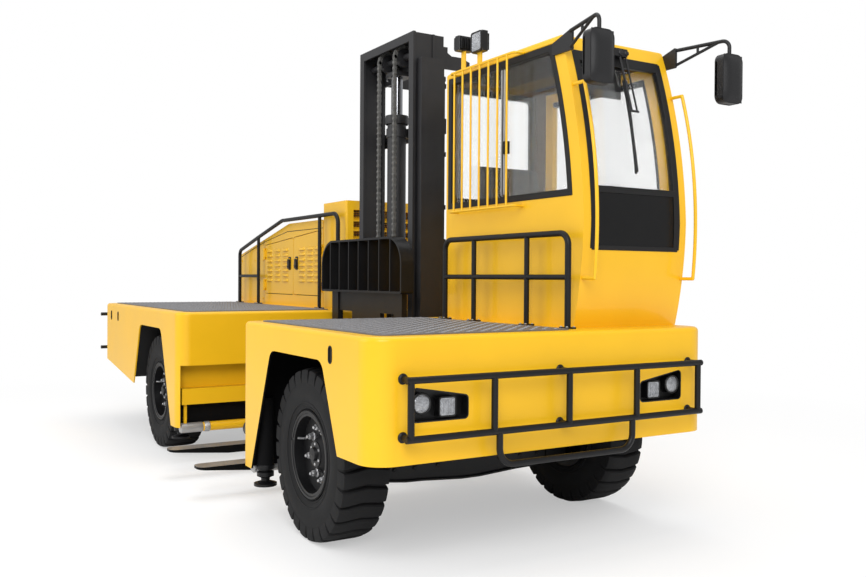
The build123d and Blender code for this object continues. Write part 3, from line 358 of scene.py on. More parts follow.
def facing_in(tree, centre):
    """Mask of the faces that look towards a centre in plan, or down."""
    apart = add_node(tree, "VectorMath", {0: place_in(tree), 1: (*centre, deck - 0.02)}, "SUBTRACT")
    dot = add_node(tree, "VectorMath", {0: apart.outputs["Vector"], 1: normal_in(tree)}, "DOT_PRODUCT")
    return maths(tree, dot.outputs["Value"], "LESS_THAN", 0)


def facing_in_with_link(tree, centre, link_start, link_centre):
    """Mask of the faces inside a body and, past the X where it starts, inside its link."""
    past = maths(tree, part_of(tree, place_in(tree), "X"), "GREATER_THAN", link_start)
    inputs = {"Factor": past, "A": facing_in(tree, centre), "B": facing_in(tree, link_centre)}
    return add_node(tree, "Mix", inputs).outputs["Result"]


def shade_behind_rails(tree):
    """Mask of what lies behind the reach rails, and of the wall below them, where the frame gets its painted
    shade.
    """
    rail_back = 0.7645
    wall_face = 0.762
    rail_bottom = 0.409
    place = place_in(tree)
    offset = maths(tree, part_of(tree, place, "X"), "SUBTRACT", well_centre)
    apart = add_node(tree, "Math", {0: offset}, "ABSOLUTE").outputs["Value"]
    wall = maths(tree, apart, "GREATER_THAN", wall_face)
    below = maths(tree, part_of(tree, place, "Z"), "LESS_THAN", rail_bottom)
    low_wall = maths(tree, wall, "MULTIPLY", below)
    return maths(tree, maths(tree, apart, "GREATER_THAN", rail_back), "MAXIMUM", low_wall)


def facing_below(tree, limit):
    """Mask of the faces whose normal rises less than a limit."""
    return maths(tree, part_of(tree, normal_in(tree), "Z"), "LESS_THAN", limit)


def on_roof(tree):
    """Mask of the cab roof's upper side."""
    level = maths(tree, part_of(tree, normal_in(tree), "Z"), "GREATER_THAN", 0.8)
    high = maths(tree, part_of(tree, place_in(tree), "Z"), "GREATER_THAN", cab_roof - 0.1)
    return maths(tree, level, "MULTIPLY", high)


def clear(name, colour, alpha):
    """Clear pane that lets light and shadow through."""
    material, tree, shader = new_material(name)
    gloss = spread(tree, noise(tree, 5, 2), 0.02, 0.07)
    fill(tree, shader, {"Base Color": colour, "Alpha": alpha, "Roughness": gloss})
    fill(tree, shader, {"Transmission Weight": 1, "IOR": 1.45})
    return material


def lens(name, colour, metal):
    """Lamp glass with a moulded pattern."""
    material = surface(name, colour, 0.16, metal, 0.5, (60, 0.25), (90, 0.5), coat=0.6)
    tree = material.node_tree
    cells = add_node(tree, "TexVoronoi", {"Vector": place_in(tree), "Scale": 110})
    fill(tree, tree.nodes["Bump"], {"Height": cells.outputs["Distance"], "Distance": 0.004})
    return material


def yellow_finish(name, coat):
    """The machine's yellow paint under more or less clear coat."""
    return surface(name, yellow, 0.36, 0.0, 0.32, (2.5, 0.035), (520, 0.03), coat=coat)


yellow = rgb(240, 186, 26)
# Near black used as painted shade inside the bodies and behind the reach rails
painted_shade = rgb(16, 16, 17)
paint = yellow_finish("yellow_paint", 0.3)
body_paint = yellow_finish("body_paint", 0.08)
# Painted shade: the front body's inner faces, seen in the arches and the well, turn near black
over_mask(body_paint, painted_shade, 0.7, facing_in, (1.85, 0))
rear_paint = yellow_finish("rear_body_paint", 0.08)
# Painted shade: the rear body's inner faces, and those of its link past the X where it starts, turn near
# black
over_mask(rear_paint, painted_shade, 0.7, facing_in_with_link, (-1.4, 0), -0.2, (0.42, 0.815))
cab_paint = yellow_finish("cab_paint", 0.3)
# Painted shade: the faces inside the cab turn a dark brownish yellow
over_mask(cab_paint, rgb(96, 68, 24), 0.6, facing_in, (1.85, cab_middle_y))
# Painted shade: every face of the cab that looks down turns dark grey, the roof lining among them
over_mask(cab_paint, rgb(44, 43, 41), 0.8, facing_below, -0.7)
over_mask(cab_paint, yellow, 0.6, on_roof)
frame_paint = yellow_finish("frame_paint", 0.08)
# Painted shade: the frame behind the reach rails, and its wall below them, turns near black
over_mask(frame_paint, painted_shade, 0.7, shade_behind_rails)
# Columns: name, colour, roughness, metal, shine, mottle, grain, unevenness of the gloss
black_paint = surface("black_paint", rgb(13, 13, 15), 0.44, 0.0, 0.3, (9, 0.15), (450, 0.05))
mast_paint = surface("mast_paint", rgb(36, 36, 38), 0.45, 0.0, 0.45, (7, 0.12), (380, 0.06))
tread_steel = surface("tread_steel", rgb(104, 104, 107), 0.5, 0.25, 0.5, (18, 0.14), (300, 0.12))
bare_steel = surface("bare_steel", rgb(172, 172, 172), 0.42, 0.55, 0.5, (14, 0.1), (260, 0.12))
fork_steel = surface("fork_steel", rgb(138, 138, 140), 0.42, 0.5, 0.5, (14, 0.12), (260, 0.12))
over_mask(fork_steel, rgb(20, 20, 21), 0.5, facing_below, 0.6)
chrome = surface("chrome_rod", rgb(150, 151, 155), 0.16, 1.0, 0.5, (12, 0.03), (600, 0.01), 0.03)
chain_steel = surface("chain_steel", rgb(122, 121, 118), 0.36, 0.6, 0.5, (50, 0.2), (300, 0.12))
rubber = surface("tyre_rubber", rgb(23, 23, 24), 0.76, 0.0, 0.25, (12, 0.12), (240, 0.22), 0.1)
dark_panel = surface("dark_panel", rgb(8, 8, 9), 0.24, 0.0, 0.28, (6, 0.15), (500, 0.02))
plastic = surface("black_plastic", rgb(22, 22, 24), 0.48, 0.0, 0.4, (30, 0.1), (700, 0.2))
seat_cover = surface("seat_cover", rgb(30, 30, 32), 0.6, 0.0, 0.25, (25, 0.12), (420, 0.35))
lamp_black = surface("lamp_black", rgb(15, 15, 16), 0.35, 0.0, 0.4, (20, 0.1), (400, 0.05))
engine_grey = surface("engine_grey", rgb(84, 87, 90), 0.55, 0.3, 0.5, (15, 0.2), (200, 0.25))
lozenge_steel = surface(
    "lozenge_steel", rgb(132, 132, 135), 0.4, 0.35, 0.5, (30, 0.14), (300, 0.1)
)
zinc = surface("zinc_steel", rgb(190, 190, 192), 0.3, 0.8, 0.5, (40, 0.15), (500, 0.06))
gasket = surface(
    "gasket_rubber", rgb(18, 18, 19), 0.6, 0.0, 0.35, (20, 0.1), (300, 0.12)
)
mirror_glass = surface(
    "mirror_glass", rgb(214, 220, 224), 0.06, 1.0, 0.5, (4, 0.02), (600, 0.0), 0.03
)
pane = clear("clear_glass", rgb(236, 243, 242), 0.12)
lamp_glass = lens("lamp_glass", rgb(158, 160, 164), 0.5)
red_glass = lens("red_lamp_glass", rgb(176, 22, 20), 0.0)
amber_glass = lens("amber_lamp_glass", rgb(222, 122, 18), 0.0)

# Columns: material, then the nodes that wear it
for material, names in (
    (body_paint, "front_body"),
    (rear_paint, "rear_body"),
    (cab_paint, "cab_shell"),
    (frame_paint, "chassis_frame"),
    (paint, "cab_door window_guard grab_handles engine_hood intake_box hood_door_rear hood_door_front"),
    (black_paint, "end_guards deck_rails backrest front_axle rear_axle knuckle_right knuckle_left"),
    (black_paint, "jack_rear jack_front rim_front_right rim_front_left rim_rear_right rim_rear_left"),
    (mast_paint, "mast_outer mast_inner lift_cylinder fork_carriage"),
    (tread_steel, "deck_plates"),
    (fork_steel, "forks"),
    (chrome, "lift_rod"),
    (chain_steel, "lift_chains"),
    (pane, "cab_glass cab_door_glass"),
    (dark_panel, "cab_front_panel"),
    (plastic, "mirrors wiper steering_column"),
    (seat_cover, "seat"),
    (lamp_black, "lamps"),
    (engine_grey, "engine_block"),
    (rubber, "tyre_front_right tyre_front_left tyre_rear_right tyre_rear_left"),
):
    for name in names.split():
        mesh = nodes[name].data
        mesh.materials.clear()
        mesh.materials.append(material)
        mesh.shade_smooth()
        mesh.set_sharp_from_angle(angle=math.radians(30))


# Camera and stage


def set_camera():
    """Camera solved from the photograph's edges."""
    yaw = 0.54678
    pitch = 0.0119
    roll = 0.00612
    place = (5.877, -2.6686, 1.2969)
    focal_pixels = 892.95
    photo_pixels = 866
    look = Vector((-math.cos(yaw) * math.cos(pitch), math.sin(yaw) * math.cos(pitch), -math.sin(pitch)))
    right = look.cross(Vector((0, 0, 1))).normalized()
    up = right.cross(look)
    across = right * math.cos(roll) + up * math.sin(roll)
    above = up * math.cos(roll) - right * math.sin(roll)
    data = bpy.data.cameras.new("camera")
    data.sensor_fit = "HORIZONTAL"
    data.sensor_width = 36
    data.lens = data.sensor_width * focal_pixels / photo_pixels
    data.clip_end = 200
    camera = in_scene("camera", data)
    axes = Matrix((across, above, -look)).transposed()
    camera.matrix_world = Matrix.Translation(place) @ axes.to_4x4()
    scene.camera = camera


def seen(tree):
    """Output of 1 for what the camera sees, straight or through glass."""
    path = add_node(tree, "LightPath", {})
    return maths(tree, path.outputs["Is Camera Ray"], "MAXIMUM", path.outputs["Is Transmission Ray"])


def mixed(tree, share, first, second, end):
    """Two shaders mixed by a share, as what a tree puts out."""
    mix = add_node(tree, "MixShader", {0: share, 1: first.outputs[0], 2: second.outputs[0]})
    tree.links.new(mix.outputs["Shader"], tree.nodes[end].inputs["Surface"])


def floor_material():
    """Pale matt floor that grows white towards the distance for the camera, and keeps the shadow."""
    material = surface("floor_paint", rgb(248, 248, 248), 0.9, 0.0, 0.0, (0.6, 0.006), (60, 0.0), 0.02)
    tree = material.node_tree
    apart = add_node(tree, "VectorMath", {0: place_in(tree)}, "LENGTH").outputs["Value"]
    fade = add_node(tree, "MapRange", {"Value": apart, "From Min": 2.2, "From Max": 6.5, "To Min": 0.45})
    fade.interpolation_type = "SMOOTHSTEP"
    share = maths(tree, seen(tree), "MULTIPLY", fade.outputs["Result"])
    glow = add_node(tree, "Emission", {"Strength": 1})
    mixed(tree, share, tree.nodes["Principled BSDF"], glow, "Material Output")
    return material


def set_stage():
    """Pale floor, a white surround and soft lamps."""
    half = 30
    steps = 8
    shape = Shape()
    shape.grid(lambda i, j: (half * (2 * i / steps - 1), half * (2 * j / steps - 1), 0), steps, steps)
    floor = in_scene("floor", shape.mesh("floor"))
    floor.data.materials.append(floor_material())

    world = bpy.data.worlds.new("surround")
    scene.world = world
    world.use_nodes = True
    tree = world.node_tree
    lit = tree.nodes["Background"]
    fill(tree, lit, {"Color": (1, 1, 1, 1), "Strength": 0.66})
    plain = add_node(tree, "Background", {"Color": (1, 1, 1, 1), "Strength": 1})
    mixed(tree, seen(tree), lit, plain, "World Output")

    # Columns: name, place, aim, size, power
    for name, place, aim, size, power in (
        ("key", (8.5, -4.5, 6.5), (0.6, 0.0, 1.0), 5.0, 520),
        ("fill", (-1.5, -8.0, 4.6), (0.8, 0.0, 1.6), 6.0, 190),
        ("top", (0.0, 1.0, 8.0), (0.0, 0.0, 1.0), 6.0, 240),
    ):
        data = bpy.data.lights.new(name, "AREA")
        data.size = size
        data.energy = power
        lamp = in_scene(name, data)
        lamp.location = place
        lamp.rotation_euler = (Vector(aim) - Vector(place)).to_track_quat("-Z", "Y").to_euler()


set_camera()
set_stage()


# Wheels

lug_half = 0.039
lug_skew = 0.009
lug_end = 0.117
lug_root = 0.352
# Columns: radius, distance from the tyre's middle, from the crown to the bead
tyre_profile = (
    (0.403, 0), (0.403, 0.095), (0.4, 0.107), (0.392, 0.1135), (0.376, 0.1165), (0.352, 0.1198),
    (0.33, 0.1238), (0.311, 0.125), (0.29, 0.124), (0.272, 0.1215), (0.262, 0.119), (0.26, 0.1212),
    (0.254, 0.1212), (0.252, 0.117), (0.242, 0.113), (0.236, 0.1105), (0.234, 0.1125), (0.228, 0.1115),
    (0.222, 0.105), (0.219, 0.0998), (0.2015, 0.0998),
)


def lug_point(middle, y, share, radius):
    """Point of a tread lug, at a distance from the tyre's middle and a share of its half width."""
    off = abs(y)
    skew = lug_skew * (1 - 2 * off / lug_end) if off < lug_end else -lug_skew
    turn = middle + (share * lug_half + skew) / tyre_radius
    drop = 0.01 * (max(off - 0.08, 0) / 0.041) ** 2 + (0.022 if off > 0.12 else 0)
    reach = max(radius - drop, lug_root)
    if radius < 0.4:
        reach = lug_root if off > 0.09 else 0.396
    return (reach * math.sin(turn), y, reach * math.cos(turn))


def tyre_shape():
    """Tyre with chevron lugs about the Y axis, in the same places as in the source."""
    shape = Shape()
    profile = [(radius, -y) for radius, y in reversed(tyre_profile)] + list(tyre_profile[1:])
    shape.lathe(profile, (0, 0, 0), (0, 1, 0), 128)
    del shape.faces[-2:]
    corner = math.pi + math.asin((lug_half + lug_skew) / tyre_radius)
    steps = (0.006, 0.025, 0.05, 0.075, 0.1, lug_end, 0.121)
    stations = [-y for y in reversed(steps)] + list(steps)
    # Columns: share of the lug's half width, radius at the crown
    half = ((0.3, 0.4243), (0.86, 0.4235), (1.0, 0.417), (1.12, 0.392))
    section = [(-share, radius) for share, radius in reversed(half)] + list(half)
    wide = len(section)
    for lug in range(tyre_facets):
        middle = corner + math.tau * lug / tyre_facets
        start = len(shape.points)
        shape.grid(lambda i, j: lug_point(middle, stations[j], *section[i]), wide - 1, len(stations) - 1)
        last = len(shape.points) - wide
        shape.faces += [list(range(start, start + wide)), list(range(last, last + wide))]
    return shape


def turned(shape, x, side):
    """Shape made about the Y axis, set at a wheel with its outer face outwards."""
    place = Matrix.Translation((x, side * track, wheel_z))
    if side < 0:
        place = place @ Matrix.Rotation(math.pi, 4, "Z")
    moved = Shape()
    moved.points = [place @ point for point in shape.points]
    moved.faces = shape.faces
    return moved


# Wheel nuts on their studs, the bolts of the hub's cover and the valve
hub_form = Shape()
for k in range(8):
    turn = math.tau * (k + 0.3) / 8
    x = 0.13 * math.sin(turn)
    z = 0.13 * math.cos(turn)
    hub_form.lathe([(0.024, -0.004), (0.024, 0.004), (0.021, 0.007)], (x, 0.0355, z), (0, 1, 0), 20)
    hub_form.hexagon((x, 0.041, z), (0, 1, 0), 0.018, 0.022)
    hub_form.lathe([(0.009, 0), (0.009, 0.03), (0.006, 0.034)], (x, 0.043, z), (0, 1, 0), 12)
for k in range(6):
    turn = math.tau * k / 6
    hub_form.hexagon((0.05 * math.sin(turn), 0.0715, 0.05 * math.cos(turn)), (0, 1, 0), 0.0085, 0.009)
hub_form.tube([(0.17, 0.048, 0.05), (0.172, 0.075, 0.051), (0.178, 0.095, 0.053)], 0.006, 10)

# Hub cover and the split lock ring of the rim
trim_form = Shape()
cover = [(0.066, 0.068), (0.064, 0.078), (0.036, 0.08), (0.032, 0.094), (0, 0.098)]
trim_form.lathe(cover, (0, 0, 0), (0, 1, 0), 40)
ring = ((0.2, 0.1092), (0.205, 0.1148), (0.214, 0.1148), (0.2178, 0.1092))
steps = 96
split = 20
for k in range(steps):
    points = []
    for turn in (math.tau * k / steps, math.tau * (k + 1) / steps):
        points += [(radius * math.sin(turn), y, radius * math.cos(turn)) for radius, y in ring]
    if k != split:
        trim_form.add(points, [(0, 1, 5, 4), (1, 2, 6, 5), (2, 3, 7, 6)])

tyre_form = tyre_shape()
for end, x in axles.items():
    for side, hand in ((-1, "right"), (1, "left")):
        corner = end + "_" + hand
        wheel = "wheel_" + corner
        tyre = piece("tread_" + corner, turned(tyre_form, x, side), rubber, wheel, angle=28)
        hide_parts("tyre_" + corner)
        piece("wheel_nuts_" + corner, turned(hub_form, x, side), zinc, wheel)
        piece("rim_trim_" + corner, turned(trim_form, x, side), black_paint, wheel)


# Deck


# Raised lozenges on the two deck plates, alternately turned
lozenges = Shape()
pitch = 0.036
long_half = 0.0135
short_half = 0.0045
low = deck + 0.0047
high = low + 0.0026
near = -0.91
# Columns: rear end, front end, far edge of each plate
for rear, front, far in ((1.14, 2.556, 0.15), (-2.556, -0.301, 0.185)):
    columns = int((front - rear - 0.06) / pitch)
    rows = int((far - near - 0.06) / pitch)
    for i in range(columns + 1):
        for j in range(rows + 1):
            x = (rear + front) / 2 + (i - columns / 2) * pitch
            y = (near + far) / 2 + (j - rows / 2) * pitch
            turn = math.radians(45 if (i + j) % 2 else -45)
            along = Vector((math.cos(turn), math.sin(turn), 0)) * long_half
            across = Vector((-math.sin(turn), math.cos(turn), 0)) * short_half
            foot = Vector((x, y, low))
            crest = Vector((x, y, high))
            points = [foot - along, foot - across, foot + along, foot + across]
            points += [crest - along * 0.45, crest + along * 0.45]
            lozenges.add(points, [(0, 1, 4), (1, 2, 5), (1, 5, 4), (2, 3, 5), (3, 0, 4), (3, 4, 5)])
piece("tread_lozenges", lozenges, lozenge_steel, angle=25)

# Bolt heads on the feet of the deck rails
rail_bolts = Shape()
apart = 0.022
washer = [(0.0075, 0), (0.0075, 0.0015)]
# Columns: Y of a rail, X of its posts
for y, posts in ((0.19, (1.321, 1.629, 2.126, 2.46)), (0.225, (-2.469, -1.96, -0.6))):
    for x in posts:
        for dx, dy in ((-apart, -apart), (apart, -apart), (-apart, apart), (apart, apart)):
            rail_bolts.lathe(washer, (x + dx, y + dy, deck + 0.0078), (0, 0, 1), 16)
            rail_bolts.hexagon((x + dx, y + dy, deck + 0.009), (0, 0, 1), 0.0055, 0.004)
piece("rail_foot_bolts", rail_bolts, zinc)


# Lamps


def round_lens(shape, middle, axis, radius, ribs):
    """Crowned round glass with a row of ribs."""
    # Columns: share of the radius, distance
    crown = ((1, 0.0), (0.98, 0.004), (0.8, 0.0085), (0.45, 0.012))
    profile = [(radius * share, distance) for share, distance in crown] + [(0.001, 0.013)]
    shape.lathe(profile, middle, axis, 40)
    axis = Vector(axis).normalized()
    side = axis.cross(Vector((0, 0, 1))).normalized()
    for k in range(ribs):
        offset = radius * (2 * (k + 0.5) / ribs - 1) * 0.85
        reach = math.sqrt(max(radius**2 * 0.72 - offset**2, 0))
        lift = 0.0125 - 0.0085 * (offset / radius) ** 2
        start = Vector(middle) + axis * (lift - 0.004) + side * offset
        up = Vector((0, 0, reach))
        shape.tube([start - up, start + axis * 0.004, start + up], 0.0016, 6)


def round_lamp(middle, axis, radius, ribs):
    """Round lamp glass with a ring around it."""
    round_lens(glasses, middle, axis, radius, ribs)
    # Columns: distance outside the glass, distance along the axis
    ring = ((0.006, -0.0045), (0.007, 0.0045), (0.003, 0.0085), (-0.002, 0.0055))
    bezels.lathe([(radius + wider, distance) for wider, distance in ring], middle, axis, 40)


glasses = Shape()
bezels = Shape()
for side in (-1, 1):
    round_lamp((half_length - 0.0165, side * 0.742, 0.762), (1, 0, 0), 0.042, 7)
    y = side * 0.612
    z = 0.7422
    face = round_rectangle((y, z), (0.076, 0.076), 0.01)
    glasses.prism(face, "x", half_length - 0.0185, half_length - 0.011)
    for k in range(6):
        rib = y + 0.0125 * (k - 2.5)
        glasses.tube([(half_length - 0.0105, rib, z + rise) for rise in (-0.032, 0.032)], 0.002, 6)
    rim = round_rectangle((y, z), (0.088, 0.088), 0.014)
    bezels.band(rim, face, "x", half_length - 0.022, half_length - 0.009)
round_lamp((well_centre + well_half - 0.0275, -0.915, 0.442), (-1, 0, 0), 0.045, 6)
# Columns: axis it looks along, middle across and up, size, face, back
for axis, middle, size, face, back in (
    ("y", (1.661, 2.638), (0.105, 0.114), 0.177, 0.223),
    ("x", (0.2, 2.662), (0.1, 0.084), 1.471, 1.517),
):
    outline = round_rectangle(middle, (size[0] - 0.014, size[1] - 0.014), 0.01)
    glasses.prism(outline, axis, face - 0.003, face + 0.001)
    for k in range(7):
        across = middle[0] + (size[0] - 0.03) * (k / 6 - 0.5)
        reach = size[1] / 2 - 0.014
        ends = [on_axis(axis, face - 0.003, across, middle[1] + rise) for rise in (-reach, reach)]
        glasses.tube(ends, 0.0018, 6)
        fin = round_rectangle((across, middle[1]), (0.004, size[1] - 0.02), 0.0015, 1)
        bezels.prism(fin, axis, back - 0.001, back + 0.014)
    bezels.band(round_rectangle(middle, size, 0.014), outline, axis, face - 0.006, face + 0.006)
piece("lamp_glasses", glasses, lamp_glass, bevel=0.0012)
piece("lamp_bezels", bezels, lamp_black, bevel=0.0012)

for z, material, name in ((0.86, red_glass, "tail_glass_red"), (0.76, amber_glass, "tail_glass_amber")):
    tails = Shape()
    for side in (-1, 1):
        round_lens(tails, (-half_length - 0.0295, side * 0.64, z), (-1, 0, 0), 0.04, 5)
    piece(name, tails, material)


# Cab


def circle_x(points):
    """Function of Z that gives X on the arc through three points of X and Z."""
    (x1, z1), (x2, z2), (x3, z3) = points
    whole = 2 * (x1 * (z2 - z3) + x2 * (z3 - z1) + x3 * (z1 - z2))
    first, second, third = [x**2 + z**2 for x, z in points]
    middle_x = (first * (z2 - z3) + second * (z3 - z1) + third * (z1 - z2)) / whole
    middle_z = (first * (x3 - x2) + second * (x1 - x3) + third * (x2 - x1)) / whole
    radius = math.hypot(x1 - middle_x, z1 - middle_z)
    return lambda z: middle_x + math.sqrt(max(radius**2 - (z - middle_z) ** 2, 0))


arcs_meet = 1.6
upper_front = circle_x([(2.488, arcs_meet), (2.422, 2.122), (2.296, cab_roof)])
lower_front = circle_x([(2.415, deck), (2.464, 1.297), (2.488, arcs_meet)])


def front_x(z):
    """X of the cab's bowed front at a height."""
    return upper_front(z) if z > arcs_meet else lower_front(z)


def window_outline(edge, low, high, rear):
    """Outline of a side window under the bowed front, in X and Z."""
    steps = 14
    heights = [low + (high - low) * k / steps for k in range(steps + 1)]
    return [(rear, low)] + [(front_x(z) - edge, z) for z in heights] + [(rear, high)]


def window_strip(low, high, rear, edge, width):
    """Outer and inner outline of a strip around a side window."""
    outer = window_outline(edge, low, high, rear)
    inner = window_outline(edge + width, low + width, high - width, rear + width)
    return outer, inner


side_gasket = Shape()
side_strip = window_strip(sill - 0.008, header + 0.006, 1.232, pillar - 0.008, 0.036)
side_gasket.band(*side_strip, "y", cab_near - 0.004, cab_near + 0.03)
divider = 1.79
slide_z = (sill + 0.04, header - 0.04)
side_gasket.box((divider - 0.004, divider + 0.004), (cab_near + 0.006, cab_near + 0.024), slide_z)
side_gasket.box((divider + 0.02, divider + 0.055), (cab_near - 0.012, cab_near + 0.016), (1.99, 2.06))
piece("side_window_gasket", side_gasket, gasket, bevel=0.003)

slide_frame = Shape()
for x in (divider - 0.012, divider + 0.012):
    slide_frame.box((x - 0.004, x + 0.004), (cab_near + 0.003, cab_near + 0.022), slide_z)
piece("side_window_slide", slide_frame, bare_steel, bevel=0.002)

door_gasket = Shape()
door_strip = window_strip(sill - 0.006, 2.421, 1.324, 0.132, 0.035)
door_gasket.band(*door_strip, "y", cab_far - 0.036, cab_far + 0.003)
piece("door_window_gasket", door_gasket, gasket, "cab_door", bevel=0.003)

rear_gasket = Shape()
rear_low = 1.76
rear_high = 2.47
middle = (cab_middle_y, (rear_low + rear_high) / 2)
rims = []
for wider in (0.016, -0.06):
    size = (screen_far - screen_near + wider, rear_high - rear_low + wider)
    rims.append(round_rectangle(middle, size, 0.03))
rear_gasket.band(*rims, "x", cab_rear - 0.004, cab_rear + 0.03)
piece("rear_window_gasket", rear_gasket, gasket, bevel=0.003)


def bowed_strip(shape, y, z, depth, steps):
    """Strip on the bowed front between two Y and two Z values."""
    points = []
    for k in range(steps + 1):
        level = z[0] + (z[1] - z[0]) * k / steps
        outer = front_x(level) + 0.004
        inner = front_x(level) - depth
        points += [(outer, y[0], level), (outer, y[1], level), (inner, y[1], level), (inner, y[0], level)]
    shape.skin(points, 4)


screen_gasket = Shape()
screen_y = (screen_near, screen_far)
screen_z = (panel_bottom, screen_top)
# Columns: Y values, Z values, depth, steps
for y, z, depth, steps in (
    ((screen_near - 0.01, screen_near + 0.03), screen_z, 0.03, 14),
    ((screen_far - 0.03, screen_far + 0.01), screen_z, 0.03, 14),
    (screen_y, (screen_top - 0.05, screen_top + 0.006), 0.03, 4),
    (screen_y, (panel_top - 0.012, panel_top + 0.022), 0.028, 4),
    (screen_y, (panel_bottom - 0.008, panel_bottom + 0.016), 0.028, 4),
):
    bowed_strip(screen_gasket, y, z, depth, steps)
piece("windscreen_gasket", screen_gasket, gasket, bevel=0.003)

wiper_blade = Shape()
route = [(front_x(z) + 0.009, cab_middle_y, z) for z in (1.84, 1.92, 2.0, 2.08, 2.16, 2.24, 2.34)]
wiper_blade.tube(route, 0.006, 8)
wiper_blade.tube([(x + 0.008, y, z) for x, y, z in route[1:-1]], 0.0045, 8)
motor_axis = (1, 0, 0.3)
# Columns: distance from the cab's middle, profile of a pivot
for offset, profile in (
    (0, [(0.018, -0.012), (0.018, 0.008), (0.012, 0.014)]),
    (0.04, [(0.016, -0.012), (0.016, 0.008), (0.010, 0.013)]),
):
    wiper_blade.lathe(profile, (2.352, cab_middle_y + offset, 2.49), motor_axis, 20)
piece("wiper_blade", wiper_blade, plastic)

visor = Shape()
visor_y = (screen_near + 0.02, screen_far - 0.16)
visor.box((2.2, 2.215), visor_y, (2.28, 2.47))
visor.tube([(2.207, y, 2.465) for y in visor_y], 0.008, 10)
piece("sun_visor", visor, plastic, bevel=0.004)


def cushion(middle, half, crown, lean):
    """Crowned closed pad whose sides pull in between its corners, with two sewn channels."""
    shape = Shape()
    steps = 14
    for sign in (1, -1):

        def point_at(i, j):
            u = 2 * i / steps - 1
            v = 2 * j / steps - 1
            pull = 1 - 0.035 * (1 - max(u**2, v**2))
            edge = max(abs(u), abs(v))
            rise = half[2] * (1 - edge**8) ** 0.5 if edge < 1 else 0
            if sign > 0:
                rise += crown * (1 - u**2) * (1 - v**2)
                for channel in (-0.38, 0.38):
                    rise -= 0.012 * math.exp(-(((v - channel) / 0.05) ** 2)) * (1 - edge**6)
            x = u * half[0] * (pull if abs(v) > abs(u) else 1)
            y = v * half[1] * (pull if abs(u) > abs(v) else 1)
            return (x, y, sign * rise)

        shape.grid(point_at, steps, steps)
    place = Matrix.Translation(middle) @ Matrix.Rotation(lean, 4, "Y")
    shape.points = [place @ point for point in shape.points]
    return shape


seat_x = 1.64
seat_y = 0.622
# Columns: name, middle, half sizes, crown, lean in degrees
for name, middle, half, crown, lean in (
    ("seat_cushion", (seat_x + 0.015, seat_y, 1.492), (0.245, 0.235, 0.05), 0.03, -2),
    ("seat_back", (seat_x - 0.25, seat_y, 1.76), (0.22, 0.225, 0.045), 0.022, 84),
):
    shape = cushion(middle, half, crown, math.radians(lean))
    pad = piece(name, shape, seat_cover, subdivide=1, angle=60)
    if name == "seat_cushion":
        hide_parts("seat")

seat_base = Shape()
for k in range(6):
    z = 1.085 + 0.055 * k
    grow = 0.012 if k % 2 else 0.0
    seat_base.prism(round_rectangle((seat_x, seat_y), (0.36 + grow, 0.34 + grow), 0.05), "z", z, z + 0.056)
seat_base.prism(round_rectangle((seat_x + 0.01, seat_y), (0.42, 0.4), 0.04), "z", 1.412, 1.446)
seat_base.prism(round_rectangle((seat_x - 0.285, seat_y), (0.05, 0.4), 0.02), "z", 1.43, 1.88)
for side in (-1, 1):
    y = seat_y + side * 0.262
    seat_base.prism(round_rectangle((seat_x - 0.06, y), (0.3, 0.05), 0.022), "z", 1.665, 1.7)
    seat_base.box((seat_x - 0.26, seat_x - 0.19), (y - 0.012, y + 0.012), (1.62, 1.69))
piece("seat_base", seat_base, plastic, bevel=0.006)

console = Shape()
console.prism([(1.5, 1.08), (2.02, 1.08), (2.02, 1.5), (1.9, 1.56), (1.5, 1.52)], "y", 0.318, 0.37)
for k in range(4):
    x = 1.7 + 0.07 * k
    console.tube([(x, 0.345, 1.53), (x + 0.01, 0.343, 1.6), (x + 0.018, 0.342, 1.66)], 0.006, 10)
    knob = [(0.008, 0), (0.016, 0.01), (0.018, 0.026), (0.012, 0.042), (0.002, 0.046)]
    console.lathe(knob, (x + 0.018, 0.342, 1.652), (0.15, 0, 1), 16)
console.prism(round_rectangle((2.3, seat_y), (0.12, 0.36), 0.03), "z", 1.44, 1.5)
piece("control_console", console, plastic, bevel=0.005)

mirror_faces = Shape()
mirror_backs = Shape()
mirror_z = 2.34
steps = 12
for y in (cab_near - 0.09, cab_far + 0.09):
    face = round_rectangle((y, mirror_z), (0.132, 0.238), 0.034)
    mirror_faces.prism(face, "x", 2.6615, 2.6655)
    mirror_backs.band(round_rectangle((y, mirror_z), (0.15, 0.256), 0.04), face, "x", 2.659, 2.675)

    def crowned(i, j):
        u = 2 * i / steps - 1
        v = 2 * j / steps - 1
        rise = 0.018 * (1 - u**4) * (1 - v**4)
        return (2.7135 + rise, y + u * 0.07, mirror_z + v * 0.122)

    mirror_backs.grid(crowned, steps, steps)
piece("mirror_glasses", mirror_faces, mirror_glass, bevel=0.001)
piece("mirror_housings", mirror_backs, plastic)

gutters = Shape()
for y in (cab_near, cab_far):
    gutters.tube([(x, y, cab_roof - 0.032) for x in (cab_rear + 0.03, 2.26)], 0.007, 8)
piece("roof_gutters", gutters, paint)

door_handle = Shape()
handle_z = 1.62
handle_plate = round_rectangle((2.24, handle_z), (0.13, 0.05), 0.02)
door_handle.prism(handle_plate, "y", cab_far - 0.001, cab_far + 0.006)
grip = ((2.19, 0.004), (2.2, 0.024), (2.28, 0.024), (2.29, 0.004))
door_handle.tube([(x, cab_far + out, handle_z) for x, out in grip], 0.008, 10)
piece("door_handle", door_handle, plastic, "cab_door", bevel=0.002)


# Hood

louvre_low = 1.265
louvre_pitch = 0.044
louvre_rows = 7


